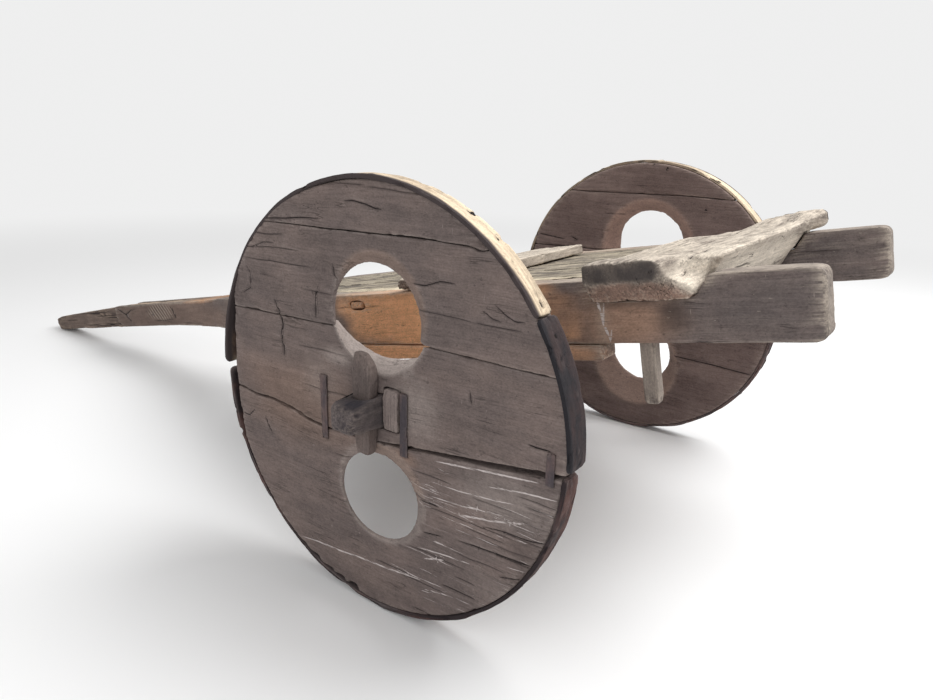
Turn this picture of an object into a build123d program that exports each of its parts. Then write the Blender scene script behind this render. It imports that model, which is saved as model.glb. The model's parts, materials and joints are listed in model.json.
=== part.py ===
from build123d import *
import math
import os

# Ox cart with two plank disc wheels on a turning axle.
# Lengths are in millimetres, and names that end in _DEG are in degrees.
# +X points forward along the pole, +Y to the left, +Z up.
# The bed is drawn level, with its zero on the axle's axis, and is then pitched nose down
# until the tip of the pole lies on the ground.

# Wheels
WHEEL_R = 582.0
WHEEL_T = 64.0
WHEEL_FACE_Y = 862.0
STRAP_T = 14.0
STRAP_GAP_DEG = 0.9
STRAP_CORNER_R = 12.0

# The lower half of the rim stands in from the upper half behind, and meets it ahead and on the ground
LOWER_INSET = 6.0

# The boards have worn back from the straps ahead: depth of the hollow and radius of its face
FRONT_WEAR = 21.0
FRONT_WEAR_R = 1090.0

# Eyes through each wheel: a shallow dish leads in to a narrow waist, and a deep flare leads out.
# Columns: depth below the outer face, x, z of the centre, half the width, half the height
UPPER_EYE = (
    (0.0, -27.0, 251.0, 151.0, 151.0),
    (14.0, -10.0, 228.0, 140.0, 140.0),
    (WHEEL_T, -14.0, 220.0, 197.0, 197.0),
)
LOWER_EYE = (
    (0.0, -31.0, -230.0, 146.0, 137.0),
    (14.0, -13.0, -248.0, 128.0, 117.0),
    (WHEEL_T, -10.0, -282.0, 186.0, 186.0),
)

# The upper eye's foot in the middle board rises inwards instead, clear of the mortise
UPPER_EYE_FOOT = (
    UPPER_EYE[0],
    (WHEEL_T, -6.0, 396.0, 271.0, 271.0),
)
BOARD_EYES = {"lower_board": LOWER_EYE, "middle_board": UPPER_EYE_FOOT, "upper_board": UPPER_EYE}

# Joints between the boards of a wheel, from front to rear.
# Rows: height at the front rim, then the x, z of any bend, then the height at the rear rim
WHEEL_JOINTS = (
    (-56.0, ((150.0, -98.0), (-20.0, -88.0)), -14.0),
    (182.0, ((0.0, 197.0),), 194.0),
    (432.0, ((-160.0, 446.0),), 436.0),
)
BOARD_NAMES = ("lower_board", "middle_board", "upper_board", "top_board")

# Iron straps round a wheel.
# Columns: name, first and last angle up from straight ahead, width, how far proud of the face, inset
WHEEL_STRAPS = (
    ("upper_strap", 0.0, 147.0, 66.0, 13.0, 0.0),
    ("rear_strap", 147.0, 181.0, 76.0, 13.0, 0.0),
    ("lower_strap", 181.5, 360.0, 66.0, 3.0, LOWER_INSET),
)

# Iron cramps across the lowest joint.
# Columns: 1 ahead of the mortise or -1 behind it, clear distance from it, z of the foot, z of the head
WHEEL_CRAMPS = (
    (1, 110.0, -132.0, 54.0),
    (-1, 4.0, -104.0, 66.0),
    (-1, 418.0, -52.0, 30.0),
)
CRAMP_W = 26.0
CRAMP_T = 6.0
CRAMP_PRONG = 34.0

# Axle
AXLE_END_Y = 975.0
AXLE_FLATS = 124.0
AXLE_END_SQUARE = 90.0
JOURNAL_R = 45.0
JOURNAL_MARGIN = 20.0
BEARING_CLEARANCE = 0.4

# Key through each axle end, and the wedge beside the axle in the wheel's mortise
KEY_T = 36.0
KEY_TOP_W = 66.0
KEY_FOOT_W = 50.0
KEY_TOP_Z = 156.0
KEY_FOOT_Z = -122.0
KEY_SLANT = 28.0
EYE_WEDGE_W = 52.0
EYE_WEDGE_FOOT_Z = -48.0
EYE_WEDGE_HEAD_Z = 68.0
EYE_WEDGE_PROUD = 9.0

# Side beams, which converge on the pole
BED_HALF_W = 500.0
BEAM_T = 80.0
BEAM_H = 164.0
BEAM_TIP_T = 40.0
BEAM_TIP_H = 112.0
BEAM_TIP_RISE = 23.0
BEAM_REAR_X = -1000.0
BEAM_BEND_X = 400.0
BEAM_MERGE_X = 1915.0
BEAM_TIP_X = 2720.0
BEAM_BEND_R = 1500.0
BEAM_MERGE_R = 1900.0
BEAM_END_R = 25.0
BEAM_TIP_R = 70.0

# Bearing planks and the pegs that keep the axle in place
PLANK_T = 44.0
PLANK_HALF_L = 480.0
SADDLE_DEPTH = 5.0
AXLE_PEG_X = 50.0
AXLE_PEG_Y = 70.0
AXLE_PEG_DROP = 150.0
AXLE_PEG_CLEARANCE = 3.0
PEG_TENON_X = 30.0
PEG_TENON_Y = 40.0
PEG_TENON_IN_BEAM = 50.0

# Pole
POLE_W = 90.0
POLE_BOTTOM_Z = 90.0
POLE_REAR_X = -650.0
POLE_TIP_X = 3550.0
POLE_TIP_H = 82.0
POLE_NOSE_R = 40.0
YOKE_PIN_R = 17.0
YOKE_PIN_FROM_TIP = 160.0
TIP_PIN_R = 12.0
TIP_PIN_XS = (2330.0, 2590.0)

# Floor
BOARD_T = 23.0
BOARD_GAP = 4.0
FLOOR_FRONT_X = 1150.0
BOARD_SHARES = (0.17, 0.155, 0.185, 0.165, 0.175, 0.15)
RAIL_W = 72.0
RAIL_T = 28.0
BLIND_TENON = 40.0

# Cross rails under the floor. Columns: name, x of the middle, whether it shows outside the beams
CROSS_RAILS = (
    ("rear_rail", -400.0, False),
    ("axle_rail", -110.0, True),
    ("middle_rail", 382.0, True),
    ("front_rail", 1070.0, True),
)

# Cross slab notched into the beams at the rear, and the bolster that lies on the floor
SLAB_FRONT_X = -463.0
SLAB_TOP_W = 322.0
SLAB_SEAT_DEPTH = 56.0
SLAB_PROUD = 40.0
SLAB_TONGUE = 51.0
SLAB_REAR_RAKE = 0.715
SLAB_OVERHANG = 50.0
SLAB_EDGE_R = 10.0
SLAB_FIT = 1.0
SLAB_WORN_X = 106.0
SLAB_WORN_Y = 90.0

# Rise of the slab's right end towards its rear corner: how long it is, then its section where it
# leaves the slab and at the end. Columns: how far behind the slab's front, how far above the beams
SLAB_RISE_L = 300.0
SLAB_RISE_START = (
    (37.0, 32.0),
    (177.0, 38.0),
    (277.0, 38.0),
    (297.0, 32.0),
    (292.0, 16.0),
    (285.0, 2.0),
    (262.0, 2.0),
    (137.0, 14.0),
)
SLAB_RISE_END = (
    (37.0, 38.0),
    (231.0, 65.0),
    (327.0, 70.0),
    (347.0, 54.0),
    (345.0, 14.0),
    (329.0, 2.0),
    (282.0, 2.0),
    (137.0, 14.0),
)
BOLSTER_FRONT_X = 190.0
BOLSTER_W = 190.0
BOLSTER_T = 40.0
BOLSTER_EDGE = 5.0
BOLSTER_SHORT = 140.0

# Stakes that hang under the slab
STAKE_X = -588.0
STAKE_SQUARE = 40.0
STAKE_DROP = 160.0
STAKE_IN_SLAB = 55.0
STAKE_CHAMFER = 6.0

# Levels and lines that follow from the sizes above
WOOD_R = WHEEL_R - STRAP_T
WHEEL_BACK_Y = WHEEL_FACE_Y - WHEEL_T
BEAM_MID_Y = BED_HALF_W - BEAM_T / 2
BEAM_IN_Y = BED_HALF_W - BEAM_T
PLANK_BOTTOM_Z = JOURNAL_R - SADDLE_DEPTH
BEAM_BOTTOM_Z = PLANK_BOTTOM_Z + PLANK_T
BEAM_TOP_Z = BEAM_BOTTOM_Z + BEAM_H
RAIL_TOP_Z = BEAM_TOP_Z - BOARD_T
RAIL_BOTTOM_Z = RAIL_TOP_Z - RAIL_T
SLAB_SEAT_Z = BEAM_TOP_Z - SLAB_SEAT_DEPTH
SLAB_TOP_Z = BEAM_TOP_Z + SLAB_PROUD
SLAB_BOTTOM_Z = SLAB_SEAT_Z - SLAB_TONGUE
FAR = 3 * WHEEL_R


def outline(points, radii=0.0):
    """Closed face in the XY plane, with a radius at each corner."""
    return make_face(FilletPolyline(*points, radius=radii, close=True))


def prism_xy(points, low, high, radii=0.0):
    """Solid over a plan outline, between two heights."""
    return Pos(0, 0, low) * extrude(outline(points, radii), high - low)


def prism_xz(points, low, high, radii=0.0):
    """Solid over a side outline of x, z points, between two distances to the left."""
    return Pos(0, high, 0) * Rot(90, 0, 0) * extrude(outline(points, radii), high - low)


def block(xs, ys, zs):
    """Box between two limits along each axis."""
    size = [high - low for low, high in (xs, ys, zs)]
    middle = [(high + low) / 2 for low, high in (xs, ys, zs)]
    return Pos(*middle) * Box(*size)


def rod_y(radius, low, high, x=0.0, z=0.0):
    """Round rod along Y."""
    return Pos(x, (low + high) / 2, z) * Rot(90, 0, 0) * Cylinder(radius, high - low)


def mirrored(shape):
    """The same piece on the other side of the cart."""
    return mirror(shape, about=Plane.XZ)


# Wheel


def eye_cutters(rows):
    """Solids between one section of an eye and the next, from the outer face to the inner one."""
    sections = [
        Pos(x, WHEEL_FACE_Y - depth, z) * Rot(90, 0, 0) * Ellipse(half_w, half_h)
        for depth, x, z, half_w, half_h in rows
    ]
    return [loft([outer, inner], ruled=True) for outer, inner in zip(sections, sections[1:])]


def joint_line(row):
    """Points of a board joint, from past the front rim to past the rear rim."""
    front_z, bends, rear_z = row
    return [(WHEEL_R, front_z), *bends, (-WHEEL_R, rear_z)]


def wheel_key():
    """Tapered key that stands through the axle end, against the wheel's face."""
    top, foot = KEY_TOP_W / 2, KEY_FOOT_W / 2
    corners = [
        (foot, KEY_FOOT_Z),
        (top, KEY_TOP_Z),
        (KEY_SLANT - top, KEY_TOP_Z),
        (-top, KEY_TOP_Z - KEY_SLANT),
        (-foot, KEY_FOOT_Z),
    ]
    return prism_xz(corners, WHEEL_FACE_Y, WHEEL_FACE_Y + KEY_T, [4.0, 6.0, 6.0, 6.0, 4.0])


def eye_wedge():
    """Wedge that fills the wheel's mortise behind the axle's square end."""
    front = -AXLE_END_SQUARE / 2
    ys = (WHEEL_BACK_Y, WHEEL_FACE_Y + EYE_WEDGE_PROUD)
    return block((front - EYE_WEDGE_W, front), ys, (EYE_WEDGE_FOOT_Z, EYE_WEDGE_HEAD_Z))


def cramp(side, clear, foot_z, head_z):
    """Flat iron cramp: a bar on the wheel's face with a prong driven in at each end."""
    half = CRAMP_W / 2
    mortise_half = AXLE_END_SQUARE / 2 + (EYE_WEDGE_W if side < 0 else 0.0)
    x = side * (mortise_half + clear + half)
    bar = block((x - half, x + half), (WHEEL_FACE_Y, WHEEL_FACE_Y + CRAMP_T), (foot_z, head_z))
    prong_ys = (WHEEL_FACE_Y - CRAMP_PRONG, WHEEL_FACE_Y)
    foot = block((x - half, x + half), prong_ys, (foot_z, foot_z + CRAMP_T))
    head = block((x - half, x + half), prong_ys, (head_z - CRAMP_T, head_z))
    return bar + foot + head


def strap(first_deg, last_deg, width, proud, inset):
    """One length of iron strap, bent round the rim, with a gap and rounded corners at its ends."""
    first = first_deg + STRAP_GAP_DEG / 2
    last = last_deg - STRAP_GAP_DEG / 2
    middle = math.radians((first + last) / 2)
    half = math.radians((last - first) / 2)
    outer_r = WHEEL_R - inset
    inner_r = WOOD_R - inset

    def at(radius, angle):
        return radius * math.cos(angle), radius * math.sin(angle)

    outer = ThreePointArc(at(outer_r, middle - half), at(outer_r, middle), at(outer_r, middle + half))
    inner = ThreePointArc(at(inner_r, middle - half), at(inner_r, middle), at(inner_r, middle + half))
    ends = [Line(inner @ 0, outer @ 0), Line(inner @ 1, outer @ 1)]
    face = make_face([outer, inner, *ends])
    band = Pos(inset, WHEEL_FACE_Y + proud, -inset) * Rot(90, 0, 0) * extrude(face, width)
    corners = [edge for edge in band.edges() if abs(edge.length - STRAP_T) < 0.01]
    return fillet(corners, STRAP_CORNER_R)


def wooden_disc(inset):
    """The round of the boards inside the straps, flattened ahead where it has worn."""
    disc = rod_y(WOOD_R - inset, WHEEL_BACK_Y, WHEEL_FACE_Y, inset, -inset)
    wear_middle_x = WOOD_R - FRONT_WEAR - FRONT_WEAR_R
    return disc & rod_y(FRONT_WEAR_R, WHEEL_BACK_Y - 1, WHEEL_FACE_Y + 1, wear_middle_x)


def wheel_pieces(axle_end):
    """Pieces of the left wheel about its own centre, by name."""
    key = wheel_key()
    wedge = eye_wedge()
    cramps = [cramp(*row) for row in WHEEL_CRAMPS]
    cutters = [axle_end, wedge, *cramps]
    floor_line = [(WHEEL_R, -WHEEL_R), (-WHEEL_R, -WHEEL_R)]
    roof_line = [(WHEEL_R, WHEEL_R), (-WHEEL_R, WHEEL_R)]
    lines = [floor_line, *[joint_line(row) for row in WHEEL_JOINTS], roof_line]
    pieces = {}
    for name, low, high in zip(BOARD_NAMES, lines, lines[1:]):
        disc = wooden_disc(LOWER_INSET if low is floor_line else 0.0)
        board = disc & prism_xz(low + high[::-1], WHEEL_BACK_Y - 1, WHEEL_FACE_Y + 1)
        for cutter in cutters + eye_cutters(BOARD_EYES.get(name, ())):
            board -= cutter
        pieces[name] = board
    for name, *sizes in WHEEL_STRAPS:
        pieces[name] = strap(*sizes)
    pieces["wheel_key"] = key
    pieces["eye_wedge"] = wedge
    pieces["cramps"] = Compound(children=[Part(iron.wrapped) for iron in cramps])
    return pieces


def axle():
    """Axle hewn to eight sides, with round journals and square ends."""
    across_corners = AXLE_FLATS / 2 / math.cos(math.pi / 8)
    hewn = RegularPolygon(across_corners, 8, rotation=22.5)
    length = 2 * WHEEL_BACK_Y
    shaft = Pos(0, WHEEL_BACK_Y, 0) * Rot(90, 0, 0) * extrude(hewn, length)
    inner, outer = BEAM_IN_Y - JOURNAL_MARGIN, BED_HALF_W + JOURNAL_MARGIN
    for low, high in ((inner, outer), (-outer, -inner)):
        shaft -= rod_y(AXLE_FLATS, low, high)
        shaft += rod_y(JOURNAL_R, low, high)
    half = AXLE_END_SQUARE / 2
    ends = block((-half, half), (-AXLE_END_Y, AXLE_END_Y), (-half, half))
    ends -= block((-FAR, FAR), (-WHEEL_BACK_Y, WHEEL_BACK_Y), (-FAR, FAR))
    shaft += ends
    return shaft - wheel_key() - mirrored(wheel_key())


def axle_end():
    """The stretch of the left square end that fills the wheel's mortise."""
    half = AXLE_END_SQUARE / 2
    return block((-half, half), (WHEEL_BACK_Y - 1, WHEEL_FACE_Y + 1), (-half, half))


# Bed


def plan_line(wide_y, narrow_y, bend_x, merge_x):
    """Plan points of one face of a side beam, from the rear to the front."""
    return [(-FAR, wide_y), (bend_x, wide_y), (merge_x, narrow_y), (2 * FAR, narrow_y)]


BEAM_SLOPE = math.atan2(BED_HALF_W - POLE_W / 2 - BEAM_TIP_T, BEAM_MERGE_X - BEAM_BEND_X)
IN_BEND_X = BEAM_BEND_X - BEAM_T * math.tan(BEAM_SLOPE / 2)
IN_MERGE_X = IN_BEND_X + (BEAM_IN_Y - POLE_W / 2) / math.tan(BEAM_SLOPE)
OUTER_LINE = plan_line(BED_HALF_W, POLE_W / 2 + BEAM_TIP_T, BEAM_BEND_X, BEAM_MERGE_X)
INNER_LINE = plan_line(BEAM_IN_Y, POLE_W / 2, IN_BEND_X, IN_MERGE_X)


def between_lines(line, inset, low, high):
    """Region between a plan line and its mirror image, drawn in by an inset."""
    left = [(x, y - inset) for x, y in line]
    right = [(x, inset - y) for x, y in reversed(line)]
    bends = [0.0, BEAM_BEND_R, BEAM_MERGE_R, 0.0]
    return prism_xy(left + right, low, high, bends + bends)


def side_view(length_points, radii):
    """Side outline of a long timber, as a solid as wide as the whole cart."""
    return prism_xz(length_points, -BED_HALF_W, BED_HALF_W, radii)


def side_beam(cutters):
    """Left side beam: straight behind, drawn in ahead, with its joints cut."""
    plan = between_lines(OUTER_LINE, 0, 0, FAR) - between_lines(INNER_LINE, 0, 0, FAR)
    plan &= block((-FAR, 2 * FAR), (0, BED_HALF_W), (0, FAR))
    tip_bottom = BEAM_BOTTOM_Z + BEAM_TIP_RISE
    tip_top = tip_bottom + BEAM_TIP_H
    corners = [
        (BEAM_REAR_X, BEAM_BOTTOM_Z),
        (FLOOR_FRONT_X, BEAM_BOTTOM_Z),
        (BEAM_TIP_X, tip_bottom),
        (BEAM_TIP_X, tip_top),
        (BEAM_MERGE_X, tip_top),
        (FLOOR_FRONT_X, BEAM_TOP_Z),
        (BEAM_REAR_X, BEAM_TOP_Z),
    ]
    ends = [BEAM_END_R, 0.0, BEAM_TIP_R, BEAM_END_R / 2, 0.0, 0.0, BEAM_END_R]
    beam = side_view(corners, ends) & plan
    for cutter in cutters:
        beam -= cutter
    return beam


def bearing_plank(journal, cutters):
    """Plank under the left beam, with a shallow saddle over the axle's journal."""
    plank = block(
        (-PLANK_HALF_L, PLANK_HALF_L), (BEAM_IN_Y, BED_HALF_W), (PLANK_BOTTOM_Z, BEAM_BOTTOM_Z)
    )
    plank -= journal
    for cutter in cutters:
        plank -= cutter
    return plank


def axle_peg(side):
    """Peg ahead of the axle (side 1) or behind it (side -1), with its tenon up in the beam."""
    near = JOURNAL_R + AXLE_PEG_CLEARANCE
    middle = near + AXLE_PEG_X / 2
    body = block(
        (near, near + AXLE_PEG_X),
        (BEAM_MID_Y - AXLE_PEG_Y / 2, BEAM_MID_Y + AXLE_PEG_Y / 2),
        (PLANK_BOTTOM_Z - AXLE_PEG_DROP, PLANK_BOTTOM_Z),
    )
    foot = body.faces().sort_by(Axis.Z)[0]
    body = chamfer(foot.edges(), STAKE_CHAMFER)
    tenon = block(
        (middle - PEG_TENON_X / 2, middle + PEG_TENON_X / 2),
        (BEAM_MID_Y - PEG_TENON_Y / 2, BEAM_MID_Y + PEG_TENON_Y / 2),
        (PLANK_BOTTOM_Z, BEAM_BOTTOM_Z + PEG_TENON_IN_BEAM),
    )
    peg = body + tenon
    return peg if side > 0 else mirror(peg, about=Plane.YZ)


def cross_rail(x, through):
    """Flat rail from beam to beam, its ends flush outside the beams or blind in them."""
    rail = block(
        (x - RAIL_W / 2, x + RAIL_W / 2), (-BED_HALF_W, BED_HALF_W), (RAIL_BOTTOM_Z, RAIL_TOP_Z)
    )
    if through:
        return rail & between_lines(OUTER_LINE, 0, 0, FAR)
    return rail & between_lines(INNER_LINE, -BLIND_TENON, 0, FAR)


def floor_boards():
    """Lengthwise boards between the beams, cut off at the beams where these draw in."""
    room = between_lines(INNER_LINE, BOARD_GAP, RAIL_TOP_Z, BEAM_TOP_Z)
    rear_x = SLAB_FRONT_X + BOARD_GAP
    wide = 2 * (BEAM_IN_Y - BOARD_GAP)
    left = BEAM_IN_Y - BOARD_GAP
    boards = []
    for share in BOARD_SHARES:
        right = left - wide * share
        strip = block(
            (rear_x, FLOOR_FRONT_X), (right + BOARD_GAP / 2, left - BOARD_GAP / 2), (RAIL_TOP_Z, BEAM_TOP_Z)
        )
        boards.append(strip & room)
        left = right
    return boards


def centre_pole(cutters):
    """Pole from under the slab to the tip on the ground, notched for the rails."""
    corners = [
        (POLE_REAR_X, POLE_BOTTOM_Z),
        (POLE_TIP_X, POLE_BOTTOM_Z),
        (POLE_TIP_X, POLE_BOTTOM_Z + POLE_TIP_H),
        (BEAM_TIP_X, BEAM_BOTTOM_Z + BEAM_TIP_RISE + BEAM_TIP_H - BOARD_GAP),
        (FLOOR_FRONT_X, RAIL_TOP_Z),
        (POLE_REAR_X, RAIL_TOP_Z),
    ]
    pole = prism_xz(corners, -POLE_W / 2, POLE_W / 2, [0.0, POLE_NOSE_R, POLE_NOSE_R / 2, 0.0, 0.0, 0.0])
    bore = Pos(POLE_TIP_X - YOKE_PIN_FROM_TIP, 0, POLE_BOTTOM_Z) * Cylinder(YOKE_PIN_R, FAR)
    pole -= bore
    for cutter in cutters:
        pole -= cutter
    return pole


def slab_body():
    """Rear cross slab before its mortises: a raked rear face and a tongue between the beams."""

    def rear_x(z):
        return SLAB_FRONT_X - SLAB_TOP_W + SLAB_REAR_RAKE * (SLAB_TOP_Z - z)

    half = BED_HALF_W + SLAB_OVERHANG
    tongue_half = BEAM_IN_Y - SLAB_FIT
    top = [
        (SLAB_FRONT_X, SLAB_SEAT_Z),
        (SLAB_FRONT_X, SLAB_TOP_Z),
        (rear_x(SLAB_TOP_Z), SLAB_TOP_Z),
        (rear_x(SLAB_SEAT_Z), SLAB_SEAT_Z),
    ]
    tongue = [
        (SLAB_FRONT_X, SLAB_BOTTOM_Z),
        (SLAB_FRONT_X, SLAB_SEAT_Z),
        (rear_x(SLAB_SEAT_Z), SLAB_SEAT_Z),
        (rear_x(SLAB_BOTTOM_Z), SLAB_BOTTOM_Z),
    ]
    slab = prism_xz(top, -half, half, [0.0, SLAB_EDGE_R, SLAB_EDGE_R, 0.0])
    slab += prism_xz(tongue, -tongue_half, tongue_half)
    return slab


def slab_rise():
    """The slab's right end, which rises towards its rear corner."""
    half = BED_HALF_W + SLAB_OVERHANG
    sections = []
    for y, points in ((SLAB_RISE_L - half, SLAB_RISE_START), (-half, SLAB_RISE_END)):
        corners = [(SLAB_FRONT_X - back, y, BEAM_TOP_Z + up) for back, up in points]
        sections.append(make_face(Polyline(*corners, close=True)))
    return loft(sections, ruled=True)


def slab_end_cuts():
    """Undercuts below the slab's two ends, and the hewn away rear corner at its left end."""
    half = BED_HALF_W + SLAB_OVERHANG
    undercut = [
        (BED_HALF_W, SLAB_SEAT_Z),
        (half, SLAB_SEAT_Z + SLAB_OVERHANG),
        (half + 1, SLAB_SEAT_Z - 1),
        (BED_HALF_W, SLAB_SEAT_Z - 1),
    ]
    left = extrude(Plane.YZ * outline(undercut), 2 * FAR, both=True)
    rear = SLAB_FRONT_X - SLAB_TOP_W
    worn_front = rear + SLAB_WORN_X + SLAB_EDGE_R
    worn = [
        (worn_front, SLAB_TOP_Z + 1),
        (worn_front - SLAB_EDGE_R, SLAB_TOP_Z - SLAB_PROUD * 0.75),
        (rear + SLAB_EDGE_R, SLAB_SEAT_Z + SLAB_EDGE_R),
        (rear - SLAB_WORN_X, SLAB_TOP_Z + 1),
    ]
    worn_cut = prism_xz(worn, half - SLAB_WORN_Y, half + 1)
    return [left, mirrored(left), worn_cut]


def bolster():
    """Raised cross piece on the floor, flush with the left beam's outer face and short at the right."""
    xs = (BOLSTER_FRONT_X - BOLSTER_W, BOLSTER_FRONT_X)
    ys = (BOLSTER_SHORT - BED_HALF_W, BED_HALF_W)
    piece = block(xs, ys, (BEAM_TOP_Z, BEAM_TOP_Z + BOLSTER_T))
    return chamfer(piece.faces().sort_by(Axis.Z)[-1].edges(), BOLSTER_EDGE)


def stake():
    """Square stake through the left beam, its head in the slab."""
    half = STAKE_SQUARE / 2
    piece = block(
        (STAKE_X - half, STAKE_X + half),
        (BEAM_MID_Y - half, BEAM_MID_Y + half),
        (BEAM_BOTTOM_Z - STAKE_DROP, SLAB_SEAT_Z + STAKE_IN_SLAB),
    )
    return chamfer(piece.faces().sort_by(Axis.Z)[0].edges(), STAKE_CHAMFER)


def tip_pins():
    """Wooden pins across the two beam tips and the pole."""
    half = POLE_W / 2 + BEAM_TIP_T
    z = BEAM_BOTTOM_Z + BEAM_TIP_RISE + BEAM_TIP_H / 2
    return [rod_y(TIP_PIN_R, -half, half, x, z) for x in TIP_PIN_XS]


def bed_pieces():
    """Pieces of the bed, drawn level about the axle's axis, by name."""
    rails = {name: cross_rail(x, through) for name, x, through in CROSS_RAILS}
    pins = tip_pins()
    left_stake = stake()
    slab_whole = slab_body()
    front_peg, rear_peg = axle_peg(1), axle_peg(-1)
    journal = rod_y(JOURNAL_R + BEARING_CLEARANCE, -WHEEL_FACE_Y, WHEEL_FACE_Y)

    beam = side_beam([slab_whole, left_stake, front_peg, rear_peg, *rails.values(), *pins])
    plank = bearing_plank(journal, [front_peg, rear_peg])
    pole = centre_pole([*rails.values(), *pins])
    slab = slab_whole + slab_rise() - pole - left_stake - mirrored(left_stake)
    for cut in slab_end_cuts():
        slab -= cut

    pieces = {
        "left_side_beam": beam,
        "right_side_beam": mirrored(beam),
        "centre_pole": pole,
        "rear_cross_slab": slab,
        "bolster": bolster(),
        "left_bearing_plank": plank,
        "right_bearing_plank": mirrored(plank),
        "left_stake": left_stake,
        "right_stake": mirrored(left_stake),
        "left_front_axle_peg": front_peg,
        "left_rear_axle_peg": rear_peg,
        "right_front_axle_peg": mirrored(front_peg),
        "right_rear_axle_peg": mirrored(rear_peg),
        "tip_pins": Compound(children=[Part(pin.wrapped) for pin in pins]),
    }
    pieces.update(rails)
    for number, board in enumerate(floor_boards(), start=1):
        pieces[f"floor_board_{number}"] = board
    return pieces


def bed_pitch_deg():
    """Nose-down angle that brings the rounded tip of the pole down to the ground."""
    x = POLE_TIP_X - POLE_NOSE_R
    z = POLE_BOTTOM_Z + POLE_NOSE_R
    reach = math.hypot(x, z)
    return math.degrees(math.asin((WHEEL_R - POLE_NOSE_R) / reach) + math.atan2(z, x))


def cart_pieces():
    """Every piece of the parked cart by name, over the middle of its footprint."""
    bed_place = Pos(0, 0, WHEEL_R) * Rot(0, bed_pitch_deg(), 0)
    placed = {name: bed_place * piece for name, piece in bed_pieces().items()}
    wheel_place = Pos(0, 0, WHEEL_R)
    placed["axle"] = wheel_place * axle()
    for name, piece in wheel_pieces(axle_end()).items():
        placed[f"left_{name}"] = wheel_place * piece
        placed[f"right_{name}"] = wheel_place * mirrored(piece)
    boxes = [piece.bounding_box() for piece in placed.values()]
    middle_x = (min(box.min.X for box in boxes) + max(box.max.X for box in boxes)) / 2
    return {name: Pos(-middle_x, 0, 0) * piece for name, piece in placed.items()}


os.makedirs("parts", exist_ok=True)
for node, piece in cart_pieces().items():
    export_step(piece, f"parts/{node}.step")
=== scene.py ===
"""An old ox cart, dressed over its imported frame: plank wheels, rusted straps, a bleached bed and a pole."""

import json
import logging
import math
from collections.abc import Callable
from dataclasses import dataclass, replace
from enum import Enum

import bpy
import numpy as np
from mathutils import Matrix, Vector


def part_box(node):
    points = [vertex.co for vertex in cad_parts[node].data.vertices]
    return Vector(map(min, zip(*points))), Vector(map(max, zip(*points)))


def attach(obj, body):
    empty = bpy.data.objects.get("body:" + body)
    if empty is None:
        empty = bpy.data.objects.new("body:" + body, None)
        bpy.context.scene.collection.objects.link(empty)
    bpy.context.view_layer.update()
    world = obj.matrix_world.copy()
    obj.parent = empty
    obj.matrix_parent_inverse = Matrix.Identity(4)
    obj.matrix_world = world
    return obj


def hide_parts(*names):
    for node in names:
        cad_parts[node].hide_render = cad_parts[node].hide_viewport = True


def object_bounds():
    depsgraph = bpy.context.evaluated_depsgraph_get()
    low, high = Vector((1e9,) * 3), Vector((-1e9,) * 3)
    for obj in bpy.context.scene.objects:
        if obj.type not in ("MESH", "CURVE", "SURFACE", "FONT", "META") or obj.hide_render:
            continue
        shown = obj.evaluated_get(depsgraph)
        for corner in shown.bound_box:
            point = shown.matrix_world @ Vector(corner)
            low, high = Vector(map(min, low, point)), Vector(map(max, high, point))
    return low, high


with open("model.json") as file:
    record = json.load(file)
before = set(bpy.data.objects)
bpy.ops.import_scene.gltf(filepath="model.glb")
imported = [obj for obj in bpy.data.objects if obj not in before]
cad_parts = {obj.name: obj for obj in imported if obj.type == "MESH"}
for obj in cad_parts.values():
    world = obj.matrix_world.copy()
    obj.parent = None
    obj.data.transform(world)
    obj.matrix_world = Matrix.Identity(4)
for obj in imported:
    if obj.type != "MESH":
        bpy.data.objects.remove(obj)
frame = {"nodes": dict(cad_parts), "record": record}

log = logging.getLogger("ox_cart")

Points = np.ndarray
Colour = tuple[float, float, float, float]
Triple = tuple[float, float, float]

MM = 0.001
TINY = 1e-9
FAR = 1e9
CAD_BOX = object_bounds()

# The curve between screen values and linear ones
CURVE_TOE = 10
CURVE_SLOPE = 12.92
CURVE_LIFT = 0.055
CURVE_POWER = 2.4


def paint(red: int, green: int, blue: int) -> Colour:
    """A colour written as screen values from 0 to 255, as the linear values that a shader takes.

    Args:
        red: The red one.
        green: The green one.
        blue: The blue one.

    Returns:
        Linear red, green and blue, and 1.
    """

    def linear(value: int) -> float:
        """One channel.

        Args:
            value: Its screen value.

        Returns:
            Its linear value.
        """
        if value <= CURVE_TOE:
            return value / 255 / CURVE_SLOPE
        return ((value / 255 + CURVE_LIFT) / (1 + CURVE_LIFT)) ** CURVE_POWER

    return linear(red), linear(green), linear(blue), 1.0


def smoothstep(low: float, high: float, values: Points) -> Points:
    """0 below low, 1 above high, and a soft step between."""
    t = np.clip((values - low) / (high - low), 0.0, 1.0)
    return t * t * (3.0 - 2.0 * t)


class Field(Enum):
    """What a piece's random field is read for: cells to the metre, layers, and how far off it is read."""

    EDGES = ((9.0, 14.0, 14.0), 2, 0.0)
    WAVES = ((3.0, 6.0, 6.0), 2, 0.0)
    RIDGES = ((5.0, 75.0, 75.0), 2, 3.1)
    NICKS = ((30.0, 45.0, 45.0), 2, 7.7)
    FACETS = ((10.0, 20.0, 20.0), 3, 9.1)
    SWAY = ((2.2, 3.0, 3.0), 1, 1.7)
    FRAY = ((8.0, 16.0, 16.0), 3, 5.3)


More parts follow.
